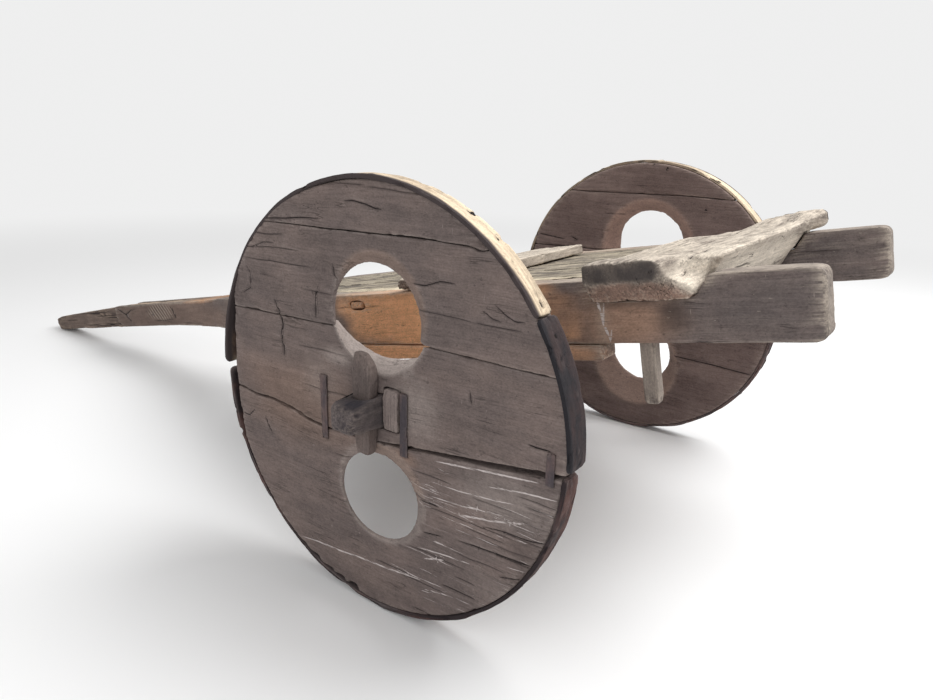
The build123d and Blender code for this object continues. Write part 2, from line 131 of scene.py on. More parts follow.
class Unevenness:
    """A seeded smooth random field in space, from about -1 to 1."""

    # Cells along each edge, then how much finer, weaker and further off each layer is than the last one
    CELLS = 64
    FINER = 2.03
    WEAKER = 0.5
    APART = 17.3
    SPREAD = 1.6

    def __init__(self, seed: int) -> None:
        """Fills the lattice, always in the same way for a seed."""
        shape = (self.CELLS,) * 3
        self.lattice = np.random.default_rng(seed).uniform(-1.0, 1.0, shape).astype(np.float32)

    def at(self, points: Points, field: Field) -> Points:
        """The field's value at each point.

        Args:
            points: N x 3 places, in metres.
            field: How it is read.

        Returns:
            N values.
        """
        cells, layers, off = field.value
        total = np.zeros(len(points), np.float64)
        reach = 0.0
        for layer in range(layers):
            places = (points + off) * (np.array(cells) * self.FINER**layer) + self.APART * layer
            total += self._one(places) * self.WEAKER**layer
            reach += self.WEAKER**layer
        return total / reach * self.SPREAD

    def _one(self, places: Points) -> Points:
        """Smooth blend of the eight lattice corners round each place, which is given in cells.

        Args:
            places: N x 3 places, in cells.

        Returns:
            N values.
        """
        low = np.floor(places)
        part = places - low
        part = part * part * (3.0 - 2.0 * part)
        near = low.astype(np.int64) % self.CELLS
        far = (near + 1) % self.CELLS
        picked = [(near[:, axis], far[:, axis]) for axis in range(3)]
        total = np.zeros(len(places), np.float64)
        for corner in range(8):
            bits = [(corner >> axis) & 1 for axis in range(3)]
            weight = np.ones(len(places))
            for axis, bit in enumerate(bits):
                weight *= part[:, axis] if bit else 1.0 - part[:, axis]
            total += weight * self.lattice[picked[0][bits[0]], picked[1][bits[1]], picked[2][bits[2]]]
        return total


# How timbers lie

X: Triple = (1.0, 0.0, 0.0)
Y: Triple = (0.0, 1.0, 0.0)
Z: Triple = (0.0, 0.0, 1.0)


@dataclass(frozen=True)
class Lay:
    """How a piece lies: a place in it, and the directions along its grain, across it and through it."""

    origin: Triple
    along: Triple
    across: Triple
    through: Triple

    def to_grain(self, points: Points) -> Points:
        """Points of the cart as lengths along, across and through the piece."""
        return (points - np.array(self.origin)) @ np.array([self.along, self.across, self.through]).T

    def to_cart(self, grain: Points) -> Points:
        """The opposite of to_grain."""
        return grain @ np.array([self.along, self.across, self.through]) + np.array(self.origin)

    def fibres(self, grain: Points) -> Points:
        """Lengths that follow the fibres, where these bend with the piece."""
        return grain


@dataclass(frozen=True)
class BentLay(Lay):
    """A side beam's lay: straight behind, then drawn in to the pole."""

    bend_at: float = 0.4
    merge_at: float = 1.915
    wide: float = 0.46
    narrow: float = 0.065

    def fibres(self, grain: Points) -> Points:
        """Lengths measured from the beam's own middle line.

        Args:
            grain: N x 3 lengths along, across and through, in metres.

        Returns:
            N x 3 lengths, of which the third is out from that line.
        """
        share = np.clip((grain[:, 0] - self.bend_at) / (self.merge_at - self.bend_at), 0.0, 1.0)
        middle = self.wide + (self.narrow - self.wide) * share
        out = grain.copy()
        out[:, 2] -= middle
        return out


@dataclass(frozen=True)
class RimLay(Lay):
    """A strap's lay: lengths round the rim, across the tread, and out from the wheel's centre."""

    radius: float = 0.582
    middle_deg: float = 90.0

    def to_grain(self, points: Points) -> Points:
        """Unrolls the rim about the strap's middle.

        Args:
            points: N x 3 places on the cart, in metres.

        Returns:
            N x 3 lengths round the rim, across the tread, and out from the centre.
        """
        flat = super().to_grain(points)
        middle = math.radians(self.middle_deg)
        turned = np.arctan2(flat[:, 1], flat[:, 0]) - middle
        turned = (turned + math.pi) % (2 * math.pi) - math.pi + middle
        return np.stack([turned * self.radius, flat[:, 2], np.hypot(flat[:, 0], flat[:, 1])], axis=1)

    def to_cart(self, grain: Points) -> Points:
        """Rolls the strap up again.

        Args:
            grain: N x 3 lengths round the rim, across the tread, and out from the centre.

        Returns:
            N x 3 places on the cart, in metres.
        """
        turned = grain[:, 0] / self.radius
        flat = np.stack([np.cos(turned) * grain[:, 2], np.sin(turned) * grain[:, 2], grain[:, 1]], axis=1)
        return super().to_cart(flat)


class Side(Enum):
    """A side of the cart, with its sign along Y."""

    LEFT = 1
    RIGHT = -1

    @property
    def word(self) -> str:
        """The side's name as the nodes write it."""
        return self.name.lower()


class Lays:
    """The lays of this cart's timbers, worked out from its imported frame."""

    def __init__(self) -> None:
        """Finds the axle's middle and the bed's pitch."""
        low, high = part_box("axle")
        self.axle_x = (low.x + high.x) / 2
        self.axle_z = (low.z + high.z) / 2
        self.centre = (self.axle_x, 0.0, self.axle_z)
        up = frame["record"]["mounts"][0]["axis"]
        self.bed_up = (up[0], 0.0, up[2])
        self.bed_ahead = (up[2], 0.0, -up[0])

        # Bed timbers along the cart whose broad face is their side, and those whose broad face is their top
        self.lengthwise = Lay(self.centre, self.bed_ahead, self.bed_up, Y)
        self.floor = Lay(self.centre, self.bed_ahead, Y, self.bed_up)

        # Bed timbers from side to side, and the stakes and pegs
        self.crosswise = Lay(self.centre, Y, self.bed_ahead, self.bed_up)
        self.upright = Lay(self.centre, self.bed_up, self.bed_ahead, Y)

        # The axle, and the upright pieces at the hubs
        self.axle = Lay(self.centre, Y, X, Z)
        self.key = Lay(self.centre, Z, X, Y)

    def beam(self, side: Side) -> Lay:
        """A side beam."""
        return BentLay(self.centre, self.bed_ahead, self.bed_up, (0.0, float(side.value), 0.0))

    def wheel(self, side: Side) -> Lay:
        """A wheel's boards, with the outer face at the far end of through."""
        return Lay(self.centre, X, Z, (0.0, float(side.value), 0.0))

    def strap(self, side: Side, middle_deg: float) -> Lay:
        """A strap round the rim."""
        return RimLay(self.centre, X, Z, (0.0, float(side.value), 0.0), middle_deg=middle_deg)


# Marks on a face


def box_share(places: Points, middle: Triple, half: Triple, hard: float) -> Points:
    """How far each vertex is inside a soft-edged box.

    Args:
        places: N x 3 vertices, in metres.
        middle: The box's middle, in millimetres.
        half: Its half sizes.
        hard: The share of each half size that is fully inside.

    Returns:
        N shares.
    """
    share = np.ones(len(places))
    for axis in range(3):
        away = np.abs(places[:, axis] / MM - middle[axis]) / half[axis]
        share *= 1.0 - smoothstep(hard, 1.0, away)
    return share


class Face(Enum):
    """Which face of a piece a mark is on, by the sign of its way through."""

    OUTER = 1
    INNER = -1
    BOTH = 0


# A held face: where the rim lies, the ways that it faces, and how much of the wear it is spared
RIM_RADII = (0.530, 0.550)
RIM_FACES = (0.3, 0.8)
BACK_FACES = (-0.6, 0.2)
SPARED = 0.88


class Hold(Enum):
    """Which faces of a piece bear on another one, and so keep their place."""

    NONE = 0
    RIM = 1
    BACK = 2

    def share(self, places: Points, through: Points) -> Points:
        """How much of the wear each vertex takes.

        Args:
            places: N x 3 vertices, in metres along, across and through.
            through: Their normals' way through the piece.

        Returns:
            N shares.
        """
        if self is Hold.RIM:
            on_rim = smoothstep(*RIM_RADII, np.hypot(places[:, 0], places[:, 1]))
            return 1.0 - SPARED * on_rim * (1.0 - smoothstep(*RIM_FACES, np.abs(through)))
        if self is Hold.BACK:
            return 1.0 - SPARED + SPARED * smoothstep(*BACK_FACES, through)
        return np.ones(len(through))


class Kind(Enum):
    """What a mark is."""

    CRACK = "crack"
    SCAR = "scar"
    LUMP = "lump"


@dataclass(frozen=True)
class Mark:
    """A crack or a pale scar that follows a line on a face. Sizes are in millimetres."""

    points: tuple[tuple[float, float], ...]
    half_width: float
    depth: float
    kind: Kind = Kind.CRACK
    face: Face = Face.OUTER
    taper: float = 0.2

    def reach(self, grain: Points, margin: float) -> tuple[Points, Points, Points, Points]:
        """How the mark lies to the vertices near it.

        Args:
            grain: N x 3 vertices, in metres.
            margin: How far from the line a vertex is still near, in metres.

        Returns:
            The near vertices' numbers, signed distances, steps to the line, and shares of its full width.
        """
        line = np.array(self.points, float) * MM
        low, high = line.min(0) - margin, line.max(0) + margin
        flat = grain[:, :2]
        near = np.flatnonzero(np.all((flat > low) & (flat < high), axis=1))
        here = flat[near]
        lengths = np.hypot(*np.diff(line, axis=0).T)
        begun = np.concatenate([[0.0], np.cumsum(lengths)])
        best = np.full(len(near), FAR)
        signed, share = np.zeros(len(near)), np.zeros(len(near))
        step = np.zeros((len(near), 2))
        for start, end, length, before in zip(line, line[1:], lengths, begun):
            way = (end - start) / max(length, TINY)
            t = np.clip((here - start) @ way, 0.0, length)
            gap = start + t[:, None] * way - here
            far = np.hypot(gap[:, 0], gap[:, 1])
            closer = far < best
            best = np.where(closer, far, best)
            turn = way[0] * (here[:, 1] - start[1]) - way[1] * (here[:, 0] - start[0])
            signed = np.where(closer, np.where(turn < 0, -far, far), signed)
            step[closer] = gap[closer]
            travelled = (before + t) / begun[-1]
            ends = np.minimum(travelled, 1.0 - travelled) / max(self.taper, TINY)
            share = np.where(closer, np.clip(ends, 0.0, 1.0) ** 0.5, share)
        kept = best < margin
        return near[kept], signed[kept], step[kept], share[kept]


@dataclass(frozen=True)
class Shift:
    """A soft-edged stretch of a piece that has moved. Sizes are in millimetres along, across and through."""

    middle: Triple
    half: Triple
    move: Triple
    hard: float = 0.3

    def moved(self, grain: Points) -> Points:
        """The vertices after the move."""
        share = box_share(grain, self.middle, self.half, self.hard)
        return grain + share[:, None] * np.array(self.move) * MM


@dataclass(frozen=True)
class Soft:
    """A place where a piece is rounded further. Sizes are in millimetres along, across and through."""

    middle: Triple
    half: Triple
    rounds: int

    HARD = 0.6

    def rounded(self, skin: "Skin") -> Points:
        """The piece's vertices after the rounding."""
        return skin.smoothed(self.rounds, box_share(skin.places, self.middle, self.half, self.HARD))


@dataclass(frozen=True)
class Eye:
    """An eye of a wheel, with painted warm light on an arc of its wall and painted sunlight over it. Sizes
    are in millimetres.

    A section is its depth below the outer face, its middle along and across, its half width and half height.
    """

    sections: tuple[tuple[float, float, float, float, float], ...]
    warm_from_deg: float
    warm_to_deg: float
    # How much painted warm light its arc takes, and how much painted sunlight its wall takes
    tint: float = 0.9
    bleach: float = 0.0

    # Where the wall fades, by the eye's half sizes, and where the warm arc does, by half its angle
    WALL = (0.99, 1.09)
    ARC = (0.75, 1.25)

    def shares(self, grain: Points, face: float) -> tuple[Points, Points]:
        """Which vertices lie on the eye's wall.

        Args:
            grain: N x 3 vertices, in metres.
            face: How far through the outer face is, in metres.

        Returns:
            Shares of the wall, and of its warm tint, which is painted warm light and covers an arc of it.
        """
        deep = (face - grain[:, 2]) / MM
        rows = np.array(self.sections)
        x, z, half_w, half_h = (np.interp(deep, rows[:, 0], rows[:, column]) for column in range(1, 5))
        u = (grain[:, 0] / MM - x) / half_w
        v = (grain[:, 1] / MM - z) / half_h
        wall = 1.0 - smoothstep(*self.WALL, np.hypot(u, v))
        middle = math.radians((self.warm_from_deg + self.warm_to_deg) / 2)
        half = math.radians((self.warm_to_deg - self.warm_from_deg) / 2)
        turned = np.abs((np.arctan2(v, u) - middle + math.pi) % (2 * math.pi) - math.pi)
        low, high = self.ARC
        return wall, self.tint * wall * (1.0 - smoothstep(half * low, half * high, turned))


@dataclass(frozen=True)
class Splits:
    """Seeded short cracks along the grain, spread over a face. Sizes are in millimetres."""

    seed: int
    count: int
    along: tuple[float, float]
    across: tuple[float, float]
    length: tuple[float, float] = (60.0, 260.0)
    half_width: tuple[float, float] = (0.5, 1.2)
    depth: float = 3.0
    face: Face = Face.OUTER
    kind: Kind = Kind.CRACK

    # Steps along a crack, how far each wanders, and how far the whole turns from the grain
    STEP = 45.0
    WANDER = 1.6
    DRIFT = 0.02

    def marks(self) -> list[Mark]:
        """The cracks as marks.

        Returns:
            One mark for each crack.
        """
        rng = np.random.default_rng(self.seed)
        found = []
        for _ in range(self.count):
            u, v = rng.uniform(*self.along), rng.uniform(*self.across)
            length = rng.uniform(*self.length)
            slope = rng.normal(0.0, self.DRIFT)
            points = []
            steps = max(2, int(length / self.STEP))
            for step in range(steps + 1):
                run = length * (step / steps - 0.5)
                points.append((u + run, v + slope * run + rng.normal(0.0, self.WANDER)))
            found.append(Mark(tuple(points), rng.uniform(*self.half_width), self.depth, self.kind, self.face))
        return found


@dataclass(frozen=True)
class Knot:
    """A knot that the fibres run round. Sizes are in millimetres."""

    along: float
    across: float
    radius: float

    # How much shorter a length along the grain counts, and how far the knot's own tone reaches, in radii
    LONG = 0.6
    REACH = 1.6

    def bend(self, grain: Points) -> tuple[Points, Points]:
        """How far each vertex's fibre is moved across, and how near it is to the knot's middle, up to 1.

        Args:
            grain: N x 3 lengths along, across and through, in metres.

        Returns:
            N shifts across, in metres, and N shares.
        """
        u, v, r = self.along * MM, self.across * MM, self.radius * MM
        away = grain[:, 1] - v
        squared = ((grain[:, 0] - u) * self.LONG) ** 2 + away**2
        shift = -away * (r * r) / np.maximum(squared, r * r)
        near = np.clip(1.0 - np.sqrt(squared) / (self.REACH * r), 0.0, 1.0)
        return shift, near


class Tone(Enum):
    """What a patch does to the finish, numbered as the describe method stores it."""

    # The warm tone is a warm tint, and also painted warm bounce light on the frame and eyes. The pale one is
    # pale wood and dust, and in places painted sunlight. The third darkens, for stains and for painted shade
    WARM = 0
    PALE = 1
    STAIN_AND_SHADE = 2
    SCORED = 3


@dataclass(frozen=True)
class Patch:
    """A soft-edged patch of another tone on two axes, within limits on the third, in millimetres."""

    tone: Tone
    middle: tuple[float, float]
    half: tuple[float, float]
    amount: float = 1.0
    soft: float = 0.5
    face: Face = Face.BOTH
    axes: tuple[int, int] = (0, 1)
    within: tuple[float, float] = (-9000.0, 9000.0)

    # How soft its limits on the third axis are, how square it is, and how its edge frays and fades outwards
    EDGE = 4.0
    SQUARENESS = 2.5
    FRAY = 0.22
    OUTSIDE = 0.4

    def share(self, grain: Points, rough: Points) -> Points:
        """How much of the tone each vertex takes.

        Args:
            grain: N x 3 vertices, in metres.
            rough: A random value for each vertex, which frays the patch's edge.

        Returns:
            N shares.
        """
        u = (grain[:, self.axes[0]] / MM - self.middle[0]) / self.half[0]
        v = (grain[:, self.axes[1]] / MM - self.middle[1]) / self.half[1]
        away = (np.abs(u) ** self.SQUARENESS + np.abs(v) ** self.SQUARENESS) ** (1 / self.SQUARENESS)
        third = grain[:, 3 - sum(self.axes)] / MM
        low, high = self.within
        inside = smoothstep(low - self.EDGE, low + self.EDGE, third)
        inside *= 1.0 - smoothstep(high - self.EDGE, high + self.EDGE, third)
        faded = smoothstep(1.0 - self.soft, 1.0 + self.soft * self.OUTSIDE, away + self.FRAY * rough)
        return self.amount * inside * (1.0 - faded)


# Shaders


def operator(operation: str, reflected: bool = False) -> Callable[..., "Value"]:
    """A method of Value that adds one Math node.

    Args:
        operation: What the node works out.
        reflected: Whether the value comes second.

    Returns:
        The method.
    """

    def method(value: "Value", other: "Value | float" = 0.0) -> "Value":
        """The node's result."""
        pair = (other, value) if reflected else (value, other)
        return value.graph.sum(operation, *pair)

    return method


class Value:
    """A number in a shader. Sums on it add the Math nodes that work them out."""

    def __init__(self, graph: "Graph", socket: bpy.types.NodeSocket) -> None:
        """Wraps a socket of a graph."""
        self.graph = graph
        self.socket = socket

    __add__ = operator("ADD")
    __radd__ = operator("ADD", reflected=True)
    __sub__ = operator("SUBTRACT")
    __rsub__ = operator("SUBTRACT", reflected=True)
    __mul__ = operator("MULTIPLY")
    __rmul__ = operator("MULTIPLY", reflected=True)
    __truediv__ = operator("DIVIDE")
    __pow__ = operator("POWER")
    __abs__ = operator("ABSOLUTE")

    def swing(self, amount: "Value | float") -> "Value":
        """The value about its middle, 0.5, times an amount."""
        return (self - 0.5) * amount

    def zigzag(self) -> "Value":
        """1 at every whole number and 0 half way between them, in straight lines."""
        return abs(self - self.graph.sum("FLOOR", self) - 0.5) * 2.0

    def held(self) -> "Value":
        """The value held between 0 and 1."""
        return self.step(0.0, 1.0, smooth=False)

    def step(self, low: "Value | float", high: "Value | float", smooth: bool = True) -> "Value":
        """A step from 0 at low to 1 at high.

        Args:
            low: Where the step begins.
            high: Where it ends. It may be under low, for a step down.
            smooth: Whether its corners are eased.

        Returns:
            The step.
        """
        settings = {"interpolation_type": "SMOOTHSTEP" if smooth else "LINEAR"}
        node = self.graph.node("MapRange", settings, {0: self, 1: low, 2: high})
        return Value(self.graph, node.outputs[0])


class Noise(Enum):
    """The finishes' noises: cells to the metre along and across, detail and roughness.

    Where two more numbers follow, a noise is read as a step that begins at the first and ends at the second.
    """

    # Wood, where the fibres sway
    FIBRE = (14.0, 620.0, 2.0, 0.60)
    HAIR = (11.0, 270.0, 3.0, 0.55)
    STREAK = (3.2, 150.0, 5.0, 0.62)
    BAND = (1.4, 34.0, 3.0, 0.55)
    PATCH = (3.0, 6.5, 4.0, 0.60)
    GRIME = (9.0, 21.0, 5.0, 0.68)
    CONTOUR = (0.75, 9.0, 1.0, 0.40)
    RIDGE = (4.5, 88.0, 2.0, 0.50)
    GATE = (7.0, 17.0, 2.0, 0.50, 0.56, 0.66)
    BROKEN = (22.0, 260.0, 4.0, 0.70, 0.40, 0.52)

    # Wood, in straight lengths
    JITTER = (70.0, 120.0, 3.0, 0.60)
    FINE = (160.0, 240.0, 3.0, 0.70)
    MOTTLE = (38.0, 46.0, 5.0, 0.72)
    HEART = (120.0, 120.0, 3.0, 0.60)
    SPECK = (60.0, 85.0, 3.0, 0.60, 0.64, 0.71)
    FLECK = (40.0, 110.0, 3.0, 0.70, 0.68, 0.74)
    SCRATCH = (210.0, 26.0, 2.0, 0.60, 0.71, 0.78)
    PORES = (60.0, 150.0, 4.0, 0.70, 0.38, 0.70)

    # Iron
    CLOUD = (9.0, 16.0, 5.0, 0.62)
    SCALE = (70.0, 110.0, 4.0, 0.62)
    PITS = (190.0, 230.0, 3.0, 0.60)
    DRAG = (5.0, 90.0, 4.0, 0.60)


class Graph:
    """The nodes of one material, or of the world."""

    BUMP_STRENGTH = 1.0
    SPECULAR = 0.25

    def __init__(self, owner: bpy.types.Material | bpy.types.World) -> None:
        """Starts its owner's nodes afresh.

        Args:
            owner: The material or world that they belong to.
        """
        owner.use_nodes = True
        self.owner = owner
        self.tree = owner.node_tree
        self.tree.nodes.clear()

    def node(self, kind: str, settings: dict | None = None, sockets: dict | None = None) -> bpy.types.Node:
        """Adds one node.

        Args:
            kind: Its type, without the ShaderNode in front.
            settings: Its properties, which are set first.
            sockets: Values or links for its inputs, by name or number.

        Returns:
            The node.
        """
        node = self.tree.nodes.new("ShaderNode" + kind)
        for key, setting in (settings or {}).items():
            setattr(node, key, setting)
        for key, given in (sockets or {}).items():
            if isinstance(given, Value):
                given = given.socket
            if isinstance(given, bpy.types.NodeSocket):
                self.tree.links.new(given, node.inputs[key])
            else:
                node.inputs[key].default_value = given
        return node

    def sum(self, operation: str, first: "Value | float", second: "Value | float" = 0.0) -> Value:
        """One Math node."""
        return Value(self, self.node("Math", {"operation": operation}, {0: first, 1: second}).outputs[0])

    def attribute(self, name: str) -> bpy.types.NodeSocket:
        """A vector that each vertex carries."""
        settings = {"attribute_name": name, "attribute_type": "GEOMETRY"}
        return self.node("Attribute", settings).outputs["Vector"]

    def parts(self, vector: bpy.types.NodeSocket) -> list[Value]:
        """The three numbers of a vector."""
        return [Value(self, part) for part in self.node("SeparateXYZ", None, {0: vector}).outputs]

    def vector(self, operation: str, first: object, second: object) -> bpy.types.NodeSocket:
        """One Vector Math node."""
        return self.node("VectorMath", {"operation": operation}, {0: first, 1: second}).outputs[0]

    def scaled(self, colour: object, by: "Value | float") -> bpy.types.NodeSocket:
        """A colour or vector times a number."""
        return self.node("VectorMath", {"operation": "SCALE"}, {0: colour, "Scale": by}).outputs[0]

    def mix(self, share: "Value | float", first: object, second: object) -> bpy.types.NodeSocket:
        """A blend of two colours, with as much of the second as the share says, from 0 to 1."""
        settings = {"data_type": "RGBA", "clamp_factor": True}
        return self.node("Mix", settings, {0: share, 6: first, 7: second}).outputs[2]

    def layers(self, colour: object, *over: tuple["Value | float", Colour]) -> object:
        """A colour with others over it in turn.

        Args:
            colour: The lowest colour.
            over: How much of each other colour shows, and that colour.

        Returns:
            The colour socket.
        """
        for share, above in over:
            colour = self.mix(share, colour, above)
        return colour

    def noise(self, place: object, noise: Noise) -> Value:
        """A noise, from 0 to 1.

        Args:
            place: Lengths along, across and through, in metres.
            noise: Which noise.

        Returns:
            The value.
        """
        along, across, detail, rough, *fade = noise.value
        cells = self.vector("MULTIPLY", place, (along, across, across))
        sockets = {0: cells, "Scale": 1.0, "Detail": detail, "Roughness": rough}
        value = Value(self, self.node("TexNoise", {"noise_dimensions": "3D"}, sockets).outputs["Fac"])
        return value.step(*fade) if fade else value

    def noises(self, place: object, *noises: Noise) -> list[Value]:
        """Several noises at one place."""
        return [self.noise(place, noise) for noise in noises]

    def line(self, far: Value, width: Value, edge: float) -> Value:
        """1 up to a width from the middle of a line, and 0 beyond a soft edge."""
        return ((width - abs(far)) / edge).held()

    def finish(self, colour: object, rough: Value, height: Value, depth: float) -> bpy.types.Material:
        """Ends the material in one shader.

        Args:
            colour: Its base colour.
            rough: Its roughness.
            height: The relief, as a share of depth.
            depth: What a height of 1 is, in metres.

        Returns:
            The material.
        """
        bump = self.node("Bump", None, {"Height": height, "Distance": depth, "Strength": self.BUMP_STRENGTH})
        sockets = {"Base Color": colour, "Roughness": rough, "Normal": bump.outputs[0]}
        shader = self.node("BsdfPrincipled", None, {**sockets, "Specular IOR Level": self.SPECULAR})
        self.node("OutputMaterial", None, {"Surface": shader.outputs[0]})
        return self.owner


@dataclass(frozen=True)
class WeatheredWood:
    """Old timber outdoors: grey fibres with streaks, rings, splits, dirt and dust, and patches of painted
    light and shade.
    """

    name: str
    body: Colour
    dark: Colour
    # Where patches and hollows call for it, the pale colour also paints sunlight, the warm one bounce light,
    # and the darkest one shade
    pale: Colour
    warm: Colour
    stain_and_shade: Colour

    # How strongly each shows
    rings: float = 0.12
    streaks: float = 0.75
    splits: float = 0.45
    dust: float = 0.35
    frayed: float = 0.35
    relief: float = 1.0

    CRACK_COLOUR = paint(34, 28, 27)
    SCAR_COLOUR = paint(200, 190, 187)
    RELIEF = 0.0016

    # The fibres' sway: its cells to the metre, and how far it goes
    SWAY_CELLS = (5.0, 14.0, 14.0)
    SWAY = (0.0, 0.016, 0.016)

    # Rings are the contours of a noise. They show where the band noise lets them
    CONTOURS = 26.0
    RING_SHARPNESS = 3.0
    RING_BAND = (0.35, 0.62)
    SPLIT_CREST = (0.965, 0.995)

    # Marks: a line's share of its width, the length over which it fades, and how far it is jittered
    JITTER = 0.0022
    CRACK_SHARE, CRACK_FADE = 0.95, 0.0012
    SCAR_SHARE, SCAR_FADE, SCAR_JITTER = 0.9, 0.0008, 1.2

    # Scored stripes: their direction along and across, how many to the metre, and where they are pale
    SLANT = (0.776, 0.63)
    STRIPES = 50.0
    STRIPE_CREST = (0.45, 0.85)

    # Where each tone begins and ends
    LIGHT_HAIR = (0.60, 0.70)
    DARK_HAIR = (0.42, 0.32)
    BODY_PATCH = (0.36, 0.66)
    DUSTY_GRIME = (0.30, 0.62)
    FRAYED_STREAK = (0.38, 0.60)
    KNOT_HEART = (0.25, 0.9)

    def material(self) -> bpy.types.Material:
        """The finish as a material.

        Returns:
            The new material.
        """
        g = Graph(bpy.data.materials.new(self.name))
        grain = g.attribute("grain")
        cells = g.vector("MULTIPLY", grain, self.SWAY_CELLS)
        wander = g.node("TexNoise", None, {0: cells, "Scale": 1.0, "Detail": 2.0}).outputs["Color"]
        wander = g.vector("SUBTRACT", wander, (0.5,) * 3)
        place = g.vector("ADD", grain, g.vector("MULTIPLY", wander, self.SWAY))
        along, across, _ = g.parts(grain)
        crack_far, crack_width, scored = g.parts(g.attribute("crack"))
        scar_far, scar_width, scar_share = g.parts(g.attribute("scar"))
        edge, cavity, sun = g.parts(g.attribute("wear"))
        # Shares of the warm, pale and dark patch tones, which include painted light and painted shade
        warm, pale, stain_and_shade = g.parts(g.attribute("weather"))
        knot, end, eye = g.parts(g.attribute("growth"))
        fibre, hair, streak, band = g.noises(place, Noise.FIBRE, Noise.HAIR, Noise.STREAK, Noise.BAND)
        patch, grime, gate, broken = g.noises(place, Noise.PATCH, Noise.GRIME, Noise.GATE, Noise.BROKEN)
        fine, mottle, heart, pores = g.noises(grain, Noise.FINE, Noise.MOTTLE, Noise.HEART, Noise.PORES)
        speck, fleck, scratch = g.noises(grain, Noise.SPECK, Noise.FLECK, Noise.SCRATCH)

        # Rings, splits, cracks and scars
        contour = g.noise(place, Noise.CONTOUR) * self.CONTOURS
        ring = contour.zigzag() ** self.RING_SHARPNESS * band.step(*self.RING_BAND)
        ridge = 1.0 - abs(g.noise(place, Noise.RIDGE) * 2.0 - 1.0)
        split = ridge.step(*self.SPLIT_CREST) * gate * self.splits
        jitter = g.noise(grain, Noise.JITTER).swing(self.JITTER)
        crack = g.line(crack_far + jitter, crack_width * self.CRACK_SHARE, self.CRACK_FADE)
        scar = g.line(scar_far + jitter * self.SCAR_JITTER, scar_width * self.SCAR_SHARE, self.SCAR_FADE)
        scar = scar * broken * scar_share

        # Light and dark lines, which are weaker on an eye's wall
        lines = streak.swing(0.85 * self.streaks) + band.swing(0.45) + fibre.swing(0.25)
        hairs = hair.step(*self.LIGHT_HAIR) * 0.26 - hair.step(*self.DARK_HAIR) * 0.32
        lines = lines + hairs * self.streaks
        tone = 1.0 + lines * (1.0 - eye * 0.7) + grime.swing(0.34) + fine.swing(0.95) + mottle.swing(0.6)
        tone = tone * (1.0 - ring * self.rings)

        # Colours, from the wood up. The warm and pale shares hold painted bounce light and painted sunlight
        # in places
        colour = g.layers(
            self.dark,
            (patch.step(*self.BODY_PATCH), self.body),
            (warm * (0.88 + 0.12 * patch), self.warm),
            (pale + sun * self.dust * grime.step(*self.DUSTY_GRIME), self.pale),
            (edge * self.frayed * streak.step(*self.FRAYED_STREAK), self.pale),
        )
        slant = (along * self.SLANT[0] - across * self.SLANT[1]) * self.STRIPES + patch * 1.6
        colour = g.layers(
            g.scaled(colour, tone),
            # Dark patches, some of which are painted shade, then painted shade in the hollows and creases
            (stain_and_shade * (0.5 + streak * 0.8), self.stain_and_shade),
            (cavity * (0.75 - pale * 0.6), self.stain_and_shade),
            (speck * 0.45, self.stain_and_shade),
            (fleck * 0.4 + scratch * 0.4, self.pale),
            (scored * slant.zigzag().step(*self.STRIPE_CREST) * 0.6, self.pale),
            (scar * 0.9, self.SCAR_COLOUR),
            (knot.step(*self.KNOT_HEART) * (0.15 + heart * 0.6), self.stain_and_shade),
            (end * pores * (0.55 - pale * 0.5), self.stain_and_shade),
            (crack + split, self.CRACK_COLOUR),
        )

        # What stands out, and what is sunk
        height = streak * 0.55 + fibre * 0.16 + grime * 0.35 + scar * 0.3
        height = height - ring * 0.25 - split * 1.5 - crack * 2.2 - speck * 0.3
        return g.finish(colour, 0.80 + streak * 0.15, height, self.RELIEF * self.relief)


@dataclass(frozen=True)
class RustedIron:
    """Old wrought iron: brown rust in scales, with pits and dust, painted sunlight where it faces up, and
    painted shade where patches say so.
    """

    name: str
    dark: Colour
    rust: Colour
    dust: Colour

    # How dusty it is all over, how much painted sunlight it takes where it faces up, and how deep its scales
    # are
    dusty: float = 0.3
    sunlit: float = 0.25
    scaly: float = 1.0

    RELIEF = 0.0014
    HOLE_SHARE, HOLE_FADE = 1.25, 0.0015

    # Where each tone begins and ends
    RUST_CLOUD = (0.38, 0.62)
    DUSTY_CLOUD = (0.45, 0.75)
    SUNLIT_DRAG = (0.35, 0.65)
    FLAKE = (0.62, 0.70)

    def material(self) -> bpy.types.Material:
        """The finish as a material.

        Returns:
            The new material.
        """
        g = Graph(bpy.data.materials.new(self.name))
        grain = g.attribute("grain")
        cloud, scale, pits, drag = g.noises(grain, Noise.CLOUD, Noise.SCALE, Noise.PITS, Noise.DRAG)
        edge, cavity, sun = g.parts(g.attribute("wear"))
        _, pale, stain_and_shade = g.parts(g.attribute("weather"))
        crack_far, crack_width, _ = g.parts(g.attribute("crack"))
        hole = g.line(crack_far, crack_width * self.HOLE_SHARE, self.HOLE_FADE)
        flake = scale.step(*self.FLAKE)

        tone = 1.0 + scale.swing(0.9) + pits.swing(0.5) + drag.swing(0.5)
        # Painted sunlight on faces that look up, and the pale patches' painted sunlight, mixed in with the
        # dust colour
        lit_from_above = sun * self.sunlit * (0.55 + drag.step(*self.SUNLIT_DRAG) * 0.45)
        dusty = pale * (0.55 + drag * 0.9) + self.dusty * cloud.step(*self.DUSTY_CLOUD) + lit_from_above
        colour = g.layers(
            self.dark, (cloud.step(*self.RUST_CLOUD), self.rust), (dusty, self.dust), (edge * 0.35, self.dust)
        )
        colour = g.layers(
            g.scaled(colour, tone),
            # Darker in its hollows, and painted shade where the dark patches lie
            (cavity * 0.8 + stain_and_shade, self.dark),
            (flake * 0.32, self.dark),
            (hole, WeatheredWood.CRACK_COLOUR),
        )
        height = scale * 0.6 + pits * 0.25 + cloud * 0.5 - flake * 0.4 - hole * 2.0
        return g.finish(colour, 0.72 + cloud * 0.2, height, self.RELIEF * self.scaly)


